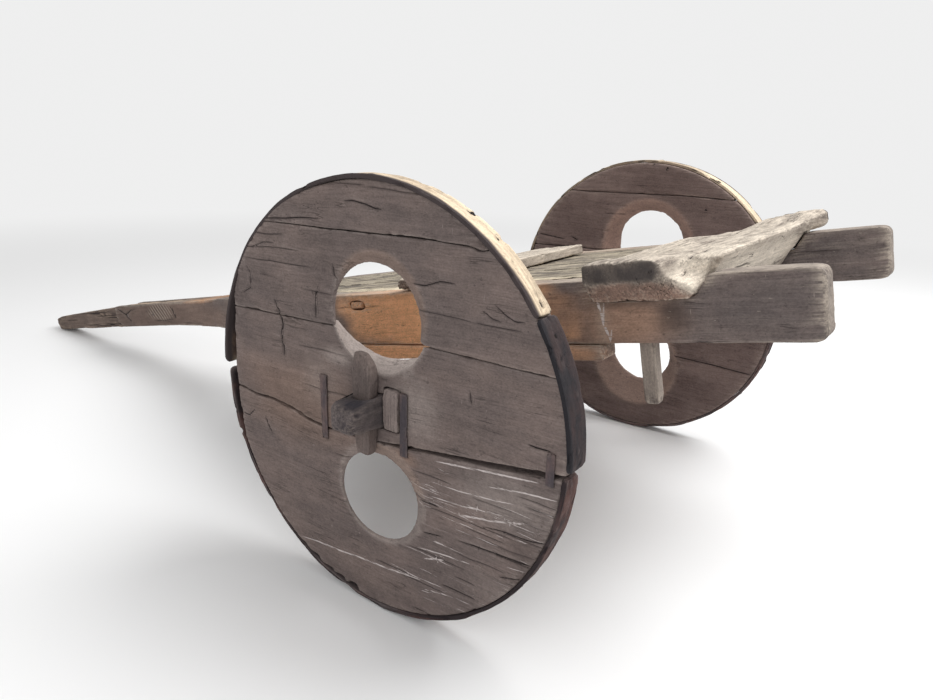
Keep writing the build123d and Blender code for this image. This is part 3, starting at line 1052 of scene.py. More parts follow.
class Finish(Enum):
    """Every finish on the cart."""

    # Its warm colour is also the painted warm light on the eyes' walls
    WHEEL = WeatheredWood(
        "weathered_wheel_boards",
        body=paint(118, 104, 99), dark=paint(101, 90, 87), pale=paint(160, 149, 143),
        warm=paint(132, 106, 90), stain_and_shade=paint(64, 56, 55), dust=0.10, streaks=0.45,
    )
    # Its warm colour is the painted warm light round its eyes
    FAR_WHEEL = WeatheredWood(
        "reddish_wheel_boards",
        body=paint(120, 103, 98), dark=paint(104, 88, 84), pale=paint(156, 140, 130),
        warm=paint(196, 158, 140), stain_and_shade=paint(64, 54, 53), dust=0.12, streaks=0.55,
    )
    # Its warm colour is painted warm bounce light, where patches put it on the frame
    FRAME = WeatheredWood(
        "hewn_frame_timber",
        body=paint(114, 102, 98), dark=paint(98, 89, 87), pale=paint(180, 168, 154),
        warm=paint(255, 192, 142), stain_and_shade=paint(56, 49, 48), dust=0.45, streaks=0.5, frayed=0.6,
    )
    POLE = WeatheredWood(
        "worn_pole_timber",
        body=paint(112, 97, 89), dark=paint(94, 81, 75), pale=paint(188, 168, 146),
        warm=paint(176, 118, 76), stain_and_shade=paint(60, 50, 47), dust=0.4, streaks=0.6,
    )
    # Its body is darkened as painted shade, and its pale colour paints sunlight on the near strip
    FLOOR = WeatheredWood(
        "bleached_floor_boards",
        body=paint(106, 98, 92), dark=paint(78, 72, 68), pale=paint(220, 206, 180),
        warm=paint(168, 134, 102), stain_and_shade=paint(52, 45, 43),
        dust=0.45, splits=2.6, relief=2.0, streaks=1.1,
    )
    SLAB = WeatheredWood(
        "hewn_cross_slab",
        body=paint(172, 160, 146), dark=paint(128, 117, 108), pale=paint(214, 202, 186),
        warm=paint(150, 122, 108), stain_and_shade=paint(76, 70, 68),
        dust=0.8, splits=0.9, relief=2.2, streaks=1.0, frayed=0.6,
    )
    AXLE = WeatheredWood(
        "dark_axle_wood",
        body=paint(98, 89, 88), dark=paint(76, 70, 71), pale=paint(140, 128, 118),
        warm=paint(112, 84, 68), stain_and_shade=paint(44, 41, 46), dust=0.0, streaks=0.5, relief=1.6,
    )
    KEY = WeatheredWood(
        "split_key_wood",
        body=paint(112, 99, 94), dark=paint(92, 82, 79), pale=paint(152, 139, 131),
        warm=paint(126, 100, 84), stain_and_shade=paint(54, 47, 46), dust=0.15, streaks=0.6,
    )
    WEDGE = WeatheredWood(
        "pale_wedge_wood",
        body=paint(142, 129, 124), dark=paint(120, 108, 104), pale=paint(170, 158, 152),
        warm=paint(150, 122, 108), stain_and_shade=paint(58, 50, 49), dust=0.15, streaks=0.6,
    )
    # A sunlit copy of the straps' iron: its pale tan dust colour and its sunlit share paint sunlight
    UPPER_STRAP = RustedIron(
        "sunlit_dusty_strap_iron", dark=paint(64, 56, 56), rust=paint(94, 74, 64), dust=paint(228, 208, 180),
        dusty=0.12, sunlit=0.75, scaly=1.6,
    )
    # Shaded copies of the same iron: darker as painted shade
    REAR_STRAP = RustedIron(
        "shaded_strap_iron", dark=paint(36, 34, 38), rust=paint(56, 44, 44), dust=paint(108, 96, 94),
        dusty=0.04, scaly=3.0,
    )
    LOWER_STRAP = RustedIron(
        "shaded_scaly_strap_iron", dark=paint(44, 36, 38), rust=paint(84, 56, 50), dust=paint(150, 138, 136),
        dusty=0.10, scaly=4.5,
    )
    CRAMP = RustedIron(
        "cramp_iron", dark=paint(68, 62, 66), rust=paint(98, 82, 80), dust=paint(122, 110, 104),
        dusty=0.08, scaly=2.0,
    )

    def material(self) -> bpy.types.Material:
        """The finish's material, made the first time it is asked for."""
        return bpy.data.materials.get(self.value.name) or self.value.material()


# Pieces


def placed(name: str, data: bpy.types.ID) -> bpy.types.Object:
    """A new object of the scene.

    Args:
        name: What it is called.
        data: Its mesh, lamp or camera.

    Returns:
        The object.
    """
    made = bpy.data.objects.new(name, data)
    bpy.context.scene.collection.objects.link(made)
    return made


def read(items: bpy.types.bpy_prop_collection, key: str) -> Points:
    """A vector of each item, as N x 3 numbers.

    Args:
        items: The items, such as the vertices of a mesh.
        key: The vector's name.

    Returns:
        One row for each item.
    """
    found = np.zeros(len(items) * 3, np.float32)
    items.foreach_get(key, found)
    return found.reshape(-1, 3).astype(np.float64)


def store(items: bpy.types.bpy_prop_collection, key: str, values: Points) -> None:
    """Gives each item its vector."""
    items.foreach_set(key, np.ascontiguousarray(values, np.float32).ravel())


class Skin:
    """A mesh's vertices as arrays, in the piece's own lengths along, across and through."""

    def __init__(self, mesh: bpy.types.Mesh) -> None:
        """Reads the vertices and edges of a mesh.

        Args:
            mesh: The mesh.
        """
        self.mesh = mesh
        self.count = len(mesh.vertices)
        self.places = read(mesh.vertices, "co")
        pairs = np.zeros(len(mesh.edges) * 2, np.int32)
        mesh.edges.foreach_get("vertices", pairs)
        self.first, self.second = pairs.reshape(-1, 2).T
        self.joined = np.bincount(pairs, minlength=self.count).astype(np.float64)

    def averaged(self, values: Points) -> Points:
        """Each vertex's neighbours' average.

        Args:
            values: One row for each vertex.

        Returns:
            One row for each vertex.
        """
        total = np.empty_like(values)
        for axis in range(values.shape[1]):
            total[:, axis] = np.bincount(self.first, values[self.second, axis], self.count)
            total[:, axis] += np.bincount(self.second, values[self.first, axis], self.count)
        return total / np.maximum(self.joined, 1.0)[:, None]

    def smoothed(self, times: int, amount: Points | float = 1.0) -> Points:
        """The places after some rounds of averaging.

        Args:
            times: How many rounds.
            amount: How far each vertex goes to its neighbours' average in a round, up to 1.

        Returns:
            N x 3 places.
        """
        places = self.places.copy()
        share = np.broadcast_to(np.asarray(amount, float), (self.count,))[:, None]
        for _ in range(times):
            places += (self.averaged(places) - places) * share
        return places

    def hollow(self, rounds: int, normals: Points) -> Points:
        """How far the surface is hollow at each vertex, against some rounds of averaging."""
        return np.einsum("ij,ij->i", self.smoothed(rounds) - self.places, normals)

    def write(self) -> None:
        """Puts the places back in the mesh."""
        store(self.mesh.vertices, "co", self.places)
        self.mesh.update()

    def normals(self) -> Points:
        """The vertices' normals."""
        self.write()
        return read(self.mesh.vertex_normals, "vector")

    def keep(self, name: str, values: Points) -> None:
        """Stores a vector for each vertex, which the finish reads."""
        store(self.mesh.attributes.new(name, "FLOAT_VECTOR", "POINT").data, "vector", values)


@dataclass
class Piece:
    """One piece of the cart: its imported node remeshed, worn, marked and dressed.

    The cells and the depths of its wear are in millimetres.
    """

    node: str
    body: str
    slot: str
    lay: Lay
    finish: Finish
    seed: int = 1

    # The mesh's cells, and how much longer they are along the grain
    cell: float = 4.0
    stretch: float = 3.0

    # How much of its neighbours' average a worn edge takes in each round
    rounding: float = 0.5
    rounds: int = 6

    # Depths of slow waves, ridges along the grain, nicks on the edges and hewn facets
    wave: float = 1.2
    ridges: float = 0.35
    nicks: float = 1.2
    hewn: float = 0.0

    marks: tuple[Mark, ...] = ()
    splits: tuple[Splits, ...] = ()
    knots: tuple[Knot, ...] = ()
    patches: tuple[Patch, ...] = ()
    shifts: tuple[Shift, ...] = ()
    eyes: tuple[Eye, ...] = ()
    softened: tuple[Soft, ...] = ()
    hold: Hold = Hold.NONE

    # The most wear that the random field gives an edge, before it is held at 1
    MOST_WEAR = 1.4

    # Marks: how far from its line one reaches, how deep its face goes, the least way that a normal points out
    # of that face, and the share of the reach in which the finish shows it
    MARK_REACH = 0.011
    FACE_DEPTH = 0.012
    FACING = 0.3
    SHOWN = 0.8

    # Cracks: how many cells from its line a vertex moves on to it, where the crack is wide enough for that,
    # and its least half width in cells. A lump spreads over its own half width times LUMP_SPREAD
    CAUGHT = 0.5
    WIDE_ENOUGH = 0.3
    LEAST_WIDTH = 0.95
    LUMP_SPREAD = 1.5

    # Where end grain begins and is full, by the normal's way along the grain
    END_GRAIN = (0.6, 0.85)

    # The sunk surface: an edge's bulge, and the random field's values for nicks and hewn facets
    EDGE_ROUNDS, EDGE_BULGE = 8, 0.0015
    NICKED = (0.25, 0.8)
    NICK_DEPTH = 2.0
    HEWN = (-0.5, 0.6)

    # What the finish reads
    CAVITY_ROUNDS, CAVITY_DEPTH = 5, 0.0016
    FIBRE_SWAY = 0.010
    SEED_APART = 3.17

    def build(self) -> bpy.types.Object:
        """Makes the piece and hides the node it stands for.

        Returns:
            The new object.
        """
        skin = Skin(self.remeshed())
        rough = Unevenness(self.seed)
        low, high = skin.places.min(0), skin.places.max(0)
        for shift in self.shifts:
            skin.places = shift.moved(skin.places)
        self.wear(skin, rough)
        fibres = self.lay.fibres(skin.places)
        crack, scar = self.mark(skin, low, high)
        self.press(skin, rough, fibres)
        self.describe(skin, rough, fibres, crack, scar, high[2])
        cart = self.lay.to_cart(skin.places)
        corner_low, corner_high = CAD_BOX
        skin.places = np.clip(cart, np.array(corner_low), np.array(corner_high))
        skin.write()
        skin.mesh.shade_smooth()
        skin.mesh.materials.clear()
        skin.mesh.materials.append(self.finish.material())
        made = placed("worn_" + self.node, skin.mesh)
        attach(made, self.body)
        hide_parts(self.node)
        log.info("%s: %d vertices", made.name, skin.count)
        return made

    def remeshed(self) -> bpy.types.Mesh:
        """The node's mesh in even cells that are longer along the grain.

        Returns:
            The new mesh.
        """
        source = frame["nodes"][self.node].data.copy()
        grain = self.lay.to_grain(read(source.vertices, "co"))
        grain[:, 0] /= self.stretch
        store(source.vertices, "co", grain)
        source.update()
        holder = placed("remesh_" + self.node, source)
        even = holder.modifiers.new("even", "REMESH")
        even.mode = "VOXEL"
        even.voxel_size = self.cell * MM
        graph = bpy.context.evaluated_depsgraph_get()
        mesh = bpy.data.meshes.new_from_object(holder.evaluated_get(graph))
        bpy.data.objects.remove(holder)
        mesh.name = "worn_" + self.node
        for attribute in [a for a in mesh.attributes if not a.is_internal and not a.is_required]:
            mesh.attributes.remove(attribute)
        skin = Skin(mesh)
        skin.places[:, 0] *= self.stretch
        skin.write()
        return mesh

    def wear(self, skin: Skin, rough: Unevenness) -> None:
        """Rounds the edges, unevenly.

        Args:
            skin: The piece's vertices.
            rough: The piece's random field.
        """
        share = rough.at(skin.places, Field.EDGES) * 0.5 + 0.5
        share = np.clip(share * self.MOST_WEAR, 0.0, 1.0) * self.rounding
        skin.places = skin.smoothed(self.rounds, share)
        for place in self.softened:
            skin.places = place.rounded(skin)

    def mark(self, skin: Skin, low: Points, high: Points) -> tuple[Points, Points]:
        """Cuts the marks.

        Args:
            skin: The piece's vertices.
            low: The piece's lowest lengths before it was worn.
            high: Its highest.

        Returns:
            For each vertex the crack's and the scar's signed distance, half width and share.
        """
        normals = skin.normals()
        found = {kind: np.zeros((skin.count, 3)) for kind in (Kind.CRACK, Kind.SCAR)}
        for kept in found.values():
            kept[:, 0] = self.MARK_REACH
        drop = np.zeros(skin.count)
        for mark in (*self.marks, *(mark for splits in self.splits for mark in splits.marks())):
            parts = mark.reach(skin.places, self.MARK_REACH)
            near = parts[0]
            on = np.abs(normals[near, 0]) < self.END_GRAIN[0]
            if mark.face is not Face.BOTH:
                through = skin.places[near, 2]
                deep = (high[2] - through) if mark.face is Face.OUTER else (through - low[2])
                on &= (deep < self.FACE_DEPTH) & (normals[near, 2] * mark.face.value > self.FACING)
            near, signed, step, share = (part[on] for part in parts)
            if mark.kind is Kind.LUMP:
                spread = mark.half_width * MM * self.LUMP_SPREAD
                rise = mark.depth * MM * smoothstep(0.0, 1.0, 1.0 - np.abs(signed) / spread)
                drop[near] = np.minimum(drop[near], -rise)
                continue
            kept = found[mark.kind]
            closer = np.abs(signed) < np.abs(kept[near, 0])
            near, signed, step, share = (part[closer] for part in (near, signed, step, share))
            width = mark.half_width * MM * share
            if mark.kind is Kind.CRACK:
                cell = self.cell * MM
                caught = (np.abs(signed) < self.CAUGHT * cell) & (share > self.WIDE_ENOUGH)
                skin.places[near[caught], :2] += step[caught]
                signed = np.where(caught, 0.0, signed)
                spread = np.maximum(width, self.LEAST_WIDTH * cell)
                dip = mark.depth * MM * share * np.clip(1.0 - np.abs(signed) / spread, 0.0, 1.0)
                drop[near] = np.maximum(drop[near], dip)
            kept[near, 0] = signed
            kept[near, 1] = np.where(np.abs(signed) < self.MARK_REACH * self.SHOWN, width, 0.0)
            kept[near, 2] = 1.0
        skin.places -= normals * drop[:, None]
        return found[Kind.CRACK], found[Kind.SCAR]

    def press(self, skin: Skin, rough: Unevenness, fibres: Points) -> None:
        """Sinks the surface a little, in slow waves, ridges along the grain, and nicks on the edges.

        Args:
            skin: The piece's vertices.
            rough: The piece's random field.
            fibres: N x 3 lengths along, across and through, which follow the fibres.
        """
        normals = skin.normals()
        edge = np.clip(-skin.hollow(self.EDGE_ROUNDS, normals) / self.EDGE_BULGE, 0.0, 1.0)
        wave = np.clip(0.5 + 0.5 * rough.at(fibres, Field.WAVES), 0.0, 1.0)
        ridge = np.clip(0.5 + 0.5 * rough.at(fibres, Field.RIDGES), 0.0, 1.0)
        nick = smoothstep(*self.NICKED, rough.at(fibres, Field.NICKS)) * edge
        facet = smoothstep(*self.HEWN, rough.at(fibres, Field.FACETS))
        sink = self.wave * wave + self.ridges * ridge
        sink = sink + self.nicks * self.NICK_DEPTH * nick + self.hewn * facet
        sink *= MM * self.hold.share(skin.places, normals[:, 2])
        skin.places -= normals * sink[:, None]

    def describe(
        self, skin: Skin, rough: Unevenness, fibres: Points, crack: Points, scar: Points, face: float
    ) -> None:
        """Stores what the finish reads.

        Args:
            skin: The piece's vertices.
            rough: The piece's random field.
            fibres: Each vertex's lengths along and across the fibres.
            crack: Each vertex's crack values.
            scar: Each vertex's scar values.
            face: How far through the outer face was before the piece was worn, in metres.
        """
        normals = skin.normals()
        lines = fibres.copy()
        near = np.zeros(skin.count)
        for knot in self.knots:
            shift, close = knot.bend(fibres)
            lines[:, 1] += shift
            near = np.maximum(near, close)
        lines[:, 1] += rough.at(fibres, Field.SWAY) * self.FIBRE_SWAY
        skin.keep("grain", lines + self.seed * self.SEED_APART)
        skin.keep("scar", scar)
        # Convex edges; hollows, which the wood finishes darken as painted shade; and how far a face looks up,
        # for dust on the wood and painted sunlight on the iron
        hollow = skin.hollow(self.CAVITY_ROUNDS, normals) / self.CAVITY_DEPTH
        upward = self.lay.to_cart(skin.places + normals * MM)[:, 2] - self.lay.to_cart(skin.places)[:, 2]
        wear = np.clip(np.stack([-hollow, hollow, upward / MM], axis=1), 0.0, 1.0)
        wear[:, 2] **= 2
        skin.keep("wear", wear)
        # Shares of the patch tones, some of which are painted light and painted shade
        weather = np.zeros((skin.count, len(Tone)))
        fray = rough.at(fibres, Field.FRAY)
        middle = (skin.places[:, 2].min() + skin.places[:, 2].max()) / 2
        for patch in self.patches:
            share = patch.share(skin.places, fray)
            if patch.face is not Face.BOTH:
                share = share * ((skin.places[:, 2] - middle) * patch.face.value > 0)
            weather[:, patch.tone.value] = np.maximum(weather[:, patch.tone.value], share)
        wall = np.zeros(skin.count)
        for eye in self.eyes:
            on, warmed = eye.shares(skin.places, face)
            wall = np.maximum(wall, on)
            # An eye's warm tint is painted warm light, and its pale share is painted sunlight
            for tone, share in ((Tone.WARM, warmed), (Tone.PALE, eye.bleach * on)):
                weather[:, tone.value] = np.maximum(weather[:, tone.value], share)
        skin.keep("weather", weather[:, :3])
        skin.keep("crack", np.column_stack([crack[:, :2], weather[:, Tone.SCORED.value]]))
        end = smoothstep(*self.END_GRAIN, np.abs(normals[:, 0])) * (1.0 - wall)
        skin.keep("growth", np.stack([near, end, wall], axis=1))


@dataclass
class Assembly:
    """A part of the cart that is built piece by piece."""

    lays: Lays

    BODY = "wheelset"

    def piece(self, node: str, slot: str, lay: Lay, finish: Finish, **sizes: object) -> None:
        """Builds the piece that stands for a node, from its lay, finish and other fields."""
        Piece(node, self.BODY, slot, lay, finish, **sizes).build()


@dataclass
class Wheel(Assembly):
    """One wheel: four boards, three straps, a key, a wedge and three cramps."""

    side: Side
    board_finish: Finish
    face: float = 862.0
    radius: float = 582.0

    # The eyes' warm arcs are painted warm light on their walls, and their pale shares are painted sunlight;
    # the upper eye's foot is a patch of painted sunlight
    LOWER_EYE = Eye(
        ((0, -31, -230, 146, 137), (14, -13, -248, 128, 117), (64, -10, -282, 186, 186)), 70, 165, 0.9, 0.4
    )
    UPPER_EYE = Eye(
        ((0, -27, 251, 151, 151), (14, -10, 228, 140, 140), (64, -14, 220, 197, 197)), 40, 185, 0.6, 0.15
    )
    UPPER_EYE_FOOT = Eye(((0, -27, 251, 151, 151), (64, -6, 396, 271, 271)), 200, 201, bleach=0.9)
    EYES = {"lower": (LOWER_EYE,), "middle": (UPPER_EYE_FOOT,), "upper": (UPPER_EYE,), "top": ()}
    # The far wheel's eyes take a ring of painted warm light all round
    FAR_EYE = {"warm_from_deg": -179, "warm_to_deg": 179, "tint": 0.45}

    # Mesh cells of the boards and straps, and of the pieces at the hub
    NEAR_CELL, FAR_CELL = 3.5, 4.4
    NEAR_HUB_CELL, FAR_HUB_CELL = 2.2, 3.0

    # The share of their listed width that the cracks take, and the taper of a mark with blunt ends
    CRACK_SHARE = 0.75
    BLUNT = 1e-6

    # Where the upper and rear straps meet, up from straight ahead
    MEETING_DEG = 147

    # The rim's chips: how deep the shallowest are, and the step to the next of their three depths
    CHIP_DEPTH, CHIP_STEP = 7.0, 2.5

    @property
    def cell(self) -> float:
        """The cells of the wheel's meshes, in millimetres."""
        return self.NEAR_CELL if self.seen else self.FAR_CELL

    @property
    def seen(self) -> bool:
        """Whether the wheel is seen from outside."""
        return self.side is Side.LEFT

    def marks(self) -> tuple[Mark, ...]:
        """The cracks and scars on the outer face of the wheel that is seen from its left side.

        Returns:
            The drawn ones, then the seeded ones.
        """
        # Half width, depth, and the points along and across
        crack_rows = (
            (1.6, 4, ((363, 449), (277, 455), (228, 461), (162, 463))),
            (1.9, 4, ((76, 513), (46, 515), (4, 509), (-24, 502), (-46, 501))),
            (1.2, 2, ((409, 408), (357, 407), (285, 414))),
            (1.1, 2, ((457, 365), (419, 367), (369, 385), (322, 388))),
            (2.6, 5, ((348, 234), (337, 204), (329, 180), (327, 163), (334, 127), (327, 94), (326, 73))),
            (1.3, 2, ((451, 316), (434, 290), (444, 249), (483, 229))),
            (1.6, 3, ((-134, 340), (-176, 340), (-220, 356), (-266, 357))),
            (1.5, 2, ((-369, 326), (-396, 308), (-422, 297), (-447, 301))),
            (1.2, 2, ((-340, 307), (-364, 294), (-387, 291))),
            (1.5, 2, ((122, 356), (119, 328), (101, 310))),
            (1.8, 2, ((174, 294), (185, 265), (191, 203))),
            (1.8, 2, ((533, -144), (499, -147), (468, -120))),
            (1.8, 3, ((425, -132), (411, -159), (396, -178))),
            (1.4, 2, ((-309, 120), (-311, 99), (-315, 85))),
            (2.2, 4, ((-467, 31), (-487, 29), (-506, 29), (-524, 30))),
            (1.8, 3, ((-159, -207), (-223, -206))),
            (1.8, 3, ((-174, -293), (-232, -284))),
            (1.9, 4, ((-282, -276), (-342, -272), (-400, -269), (-459, -266), (-519, -266))),
            (1.6, 3, ((-352, -211), (-416, -203), (-470, -203), (-551, -191))),
            (1.8, 3, ((-406, -326), (-461, -313), (-494, -315))),
            (1.6, 3, ((-234, -420), (-285, -419), (-342, -419))),
        )
        # Half width, and the points
        scar_rows = (
            (3.0, ((-208, -86), (-366, -66), (-503, -51))),
            (2.5, ((-365, -103), (-464, -87), (-548, -80))),
            (2.0, ((-230, -143), (-287, -141), (-394, -131), (-441, -123))),
            (2.2, ((-197, -183), (-300, -177), (-358, -168), (-418, -162))),
            (3.2, ((-280, -205), (-381, -186), (-468, -163))),
            (2.5, ((-154, -343), (-254, -330), (-324, -325))),
            (2.5, ((-177, -367), (-242, -347))),
            (2.0, ((-61, -427), (-155, -433), (-243, -428))),
            (2.0, ((-177, -458), (-264, -442), (-327, -439))),
            (3.0, ((296, -479), (224, -469), (129, -464), (49, -455), (-55, -448), (-182, -434))),
        )
        cracks = [Mark(points, width * self.CRACK_SHARE, depth) for width, depth, points in crack_rows]
        scars = [Mark(points, width, 0, Kind.SCAR) for width, points in scar_rows]
        worn = Splits(31, 16, (-560, -130), (-470, -90), (50, 200), (0.3, 0.8), 2.0)
        streaks = Splits(32, 48, (-560, -170), (-490, -90), (24, 170), (0.5, 1.5), 0.0, kind=Kind.SCAR)
        return (*cracks, *scars, *worn.marks(), *streaks.marks())

    def inner_marks(self) -> tuple[Mark, ...]:
        """The nails, bumps and cracks on the inner face of the wheel beyond.

        Returns:
            The nails and bumps, then the cracks.
        """
        dots = ((389, 436), (253, 272), (-244, 398), (-17, 566), (-74, 552))
        nails = []
        for half, deep, kind in ((7.0, 3.0, Kind.LUMP), (5.0, 0.5, Kind.CRACK)):
            for x, z in dots:
                nails.append(Mark(((x - 3, z), (x + 3, z)), half, deep, kind, Face.INNER, self.BLUNT))
        lines = (
            ((516, 233), (374, 220)),
            ((-120, -220), (-330, -226), (-540, -240)),
            ((345, 236), (312, 222)),
        )
        return (*nails, *(Mark(line, 1.8, 3.0, Kind.CRACK, Face.INNER) for line in lines))

    def shifts(self) -> tuple[Shift, ...]:
        """Where the boards have moved, opened and chipped.

        Returns:
            The board's wave, the notch, the proud top front, then the chips.
        """
        wavy = Shift((345, -78, 830), (120, 60, 400), (0, 10, 0))
        chips = ((292, -508), (238, -530), (185, -551), (134, -560), (83, -565), (-330, 452))
        gone = []
        for number, (x, z) in enumerate(chips):
            inward = -(self.CHIP_DEPTH + self.CHIP_STEP * (number % 3)) / math.hypot(x, z)
            gone.append(Shift((x, z, self.face), (26, 20, 26), (inward * x, inward * z, -6)))
        notch = Shift((-350, -459, self.face), (20, 14, 30), (8, 10, -11))
        proud = Shift((410, 430, self.face), (300, 290, 60), (4, 4, 14), 0.35)
        return (wavy, notch, proud, *gone)

    def gaps(self) -> tuple[Shift, ...]:
        """Where the lower board's joint has opened.

        Returns:
            One shift for each stretch of it.
        """
        return (
            Shift((-480, -40, self.face), (340, 40, 52), (0, -13, 0)),
            Shift((-150, -72, self.face), (150, 36, 40), (0, -6, 0)),
            Shift((300, -80, self.face), (300, 34, 34), (0, -6, 0)),
        )

    def patches(self) -> tuple[Patch, ...]:
        """Warm, pale and stained places on the outer face.

        Returns:
            One patch for each place.
        """
        # Tone, middle and half sizes along and across, amount, and softness
        rows = (
            (Tone.WARM, (270, -40), (250, 130), 0.38, 0.7),
            (Tone.PALE, (-150, 30), (80, 90), 0.38, 0.8),
            (Tone.PALE, (190, 30), (70, 80), 0.22, 0.8),
            (Tone.PALE, (112, 114), (62, 28), 0.5, 0.8),
            (Tone.PALE, (-112, 122), (40, 20), 0.4, 0.8),
            (Tone.WARM, (-95, -110), (60, 26), 0.6, 0.7),
            (Tone.PALE, (-395, -372), (90, 60), 0.12, 0.8),
            (Tone.PALE, (-420, -130), (150, 70), 0.38, 0.8),
            (Tone.STAIN_AND_SHADE, (-478, -250), (50, 110), 0.4, 0.9),
            (Tone.STAIN_AND_SHADE, (60, 60), (26, 120), 0.35, 0.8),
            (Tone.STAIN_AND_SHADE, (-60, 20), (60, 90), 0.3, 0.8),
        )
        return tuple(Patch(*row, Face.OUTER) for row in rows)

    def strap_marks(self, strap: str) -> tuple[Mark, ...]:
        """The nails, holes and dents of a strap, as lengths round the rim and across the tread.

        Args:
            strap: Which one it is: upper, rear or lower.

        Returns:
            Its holes, then its nails.
        """

        def at(degrees: float, across: float, long: float, half: float, deep: float, kind: Kind) -> Mark:
            """A short mark at an angle up from straight ahead."""
            u = math.radians(degrees) * self.radius
            return Mark(((u - long / 2, across), (u + long / 2, across)), half, deep, kind, taper=self.BLUNT)

        # Angle, place across, length, and half width
        holes = {
            "upper": (
                (118.7, 822, 16, 6.5), (127.3, 830, 6, 3.5), (144.2, 836, 12, 2.5), (146.6, 817, 12, 2.0),
                (60, 850, 8, 4), (28, 846, 9, 4),
            ),
            "rear": ((151, 838, 8, 4),),
            "lower": ((200, 842, 8, 4), (232, 836, 8, 4), (330, 842, 8, 4)),
        }
        # Angle, and place across
        nails = {
            "upper": ((14, 838), (42, 856), (74, 832), (108, 838), (133, 846), (92, 864)),
            "rear": ((156, 846), (164.3, 824), (176, 842)),
            "lower": ((186, 838), (216, 846), (247, 838), (292, 842), (318, 834), (349, 842)),
        }
        marks = [at(angle, y, long, half, 6.0, Kind.CRACK) for angle, y, long, half in holes[strap]]
        marks += [at(angle, y, 4.0, 6.0, 3.0, Kind.LUMP) for angle, y in nails[strap]]
        return tuple(marks)

    def strap_shifts(self, strap: str) -> tuple[Shift, ...]:
        """Where a strap of the wheel that is seen from its left side has crept along the rim.

        Args:
            strap: Which one it is: upper, rear or lower.

        Returns:
            Its shifts, or none if it has stayed where it was.
        """
        crept = {"upper": 2, "rear": -7}
        if not self.seen or strap not in crept:
            return ()
        meeting = math.radians(self.MEETING_DEG) * self.radius
        return (Shift((meeting, 842, 575), (40, 90, 90), (crept[strap], 0, 0)),)

    def boards(self) -> None:
        """Builds the four boards."""
        lay = self.lays.wheel(self.side)
        for number, (board, eyes) in enumerate(self.EYES.items()):
            seed = number + 10 * self.seen
            splits = Splits(50 + seed, 9, (-500, 500), (-560, 560), (60, 300), (0.4, 0.8), 2.0, Face.BOTH)
            if not self.seen:
                eyes = tuple(replace(eye, **self.FAR_EYE) for eye in eyes)
            self.piece(
                f"{self.side.word}_{board}_board", "wheel_wood", lay, self.board_finish,
                cell=self.cell, stretch=2.2, wave=1.5, ridges=0.5, seed=11 + seed + 10 * self.seen,
                marks=self.marks() if self.seen else self.inner_marks(), splits=(splits,),
                patches=self.patches() if self.seen else (),
                knots=(Knot(150, 335, 8), Knot(-550, 5, 9)) if self.seen else (),
                shifts=self.shifts() + (self.gaps() if board == "lower" else ()),
                eyes=eyes, hold=Hold.RIM,
            )

    def straps(self) -> None:
        """Builds the three straps."""
        # Painted shade on each strap's outer side and on its inner lip
        shaded_sides = (
            Patch(Tone.STAIN_AND_SHADE, (0, 880), (4000, 21), 1.0, 0.3),
            Patch(Tone.STAIN_AND_SHADE, (0, 880), (4000, 30), 1.0, 0.3, Face.INNER),
        )
        # Painted sunlight on the upper strap's tread
        sunlit = (Patch(Tone.PALE, (1330, 836), (240, 50), 0.62, 0.6),)
        for strap, middle, finish, hewn, patches in (
            ("upper", 73.5, Finish.UPPER_STRAP, 1.6, shaded_sides + sunlit),
            ("rear", 164.0, Finish.REAR_STRAP, 1.6, shaded_sides),
            ("lower", 270.75, Finish.LOWER_STRAP, 4.0, shaded_sides),
        ):
            self.piece(
                f"{self.side.word}_{strap}_strap", "strap_iron", self.lays.strap(self.side, middle), finish,
                cell=self.cell, stretch=2.0, rounding=0.4, rounds=3, wave=2.2, ridges=1.2, nicks=4.0,
                hewn=hewn, marks=self.strap_marks(strap), patches=patches, shifts=self.strap_shifts(strap),
                hold=Hold.BACK, seed=3 + self.side.value,
            )

    def hub(self) -> None:
        """Builds the key, the wedge and the cramps."""
        y = self.side.value * 880.0
        tops = {
            "wheel_key": (Soft((156, 15, y), (46, 80, 60), 40), Soft((-122, 0, y), (30, 80, 60), 20)),
            "eye_wedge": (Soft((68, -70, y), (26, 60, 60), 20), Soft((-48, -70, y), (26, 60, 60), 20)),
            "cramps": (),
        }
        for name, slot, finish, rounding, rounds in (
            ("wheel_key", "key_wood", Finish.KEY, 0.6, 12),
            ("eye_wedge", "key_wood", Finish.WEDGE, 0.6, 12),
            ("cramps", "strap_iron", Finish.CRAMP, 0.4, 3),
        ):
            self.piece(
                f"{self.side.word}_{name}", slot, self.lays.key, finish,
                cell=self.NEAR_HUB_CELL if self.seen else self.FAR_HUB_CELL, stretch=1.5, rounding=rounding,
                rounds=rounds, ridges=0.9, nicks=2.4, hewn=1.4, softened=tops[name], seed=8 + self.side.value,
            )

    def build(self) -> None:
        """Builds every piece of the wheel."""
        self.boards()
        self.straps()
        self.hub()


@dataclass
class Axle(Assembly):
    """The axle, which turns with the wheels."""

    end: float = 975.0

    def build(self) -> None:
        """Builds the axle, with its worn ends."""
        self.piece(
            "axle", "axle_wood", self.lays.axle, Finish.AXLE,
            cell=4.5, stretch=2.2, rounds=6, wave=2.0, ridges=1.8, nicks=2.5, hewn=2.4, seed=40,
            patches=(Patch(Tone.STAIN_AND_SHADE, (self.end, 60), (110, 30), 1.2, axes=(0, 2)),),
            softened=tuple(Soft((side.value * self.end, 0, 0), (110, 90, 90), 26) for side in Side),
            splits=(Splits(41, 24, (-960, 960), (-60, 60), (60, 400), (0.8, 2.2), 4.0, Face.BOTH),),
        )


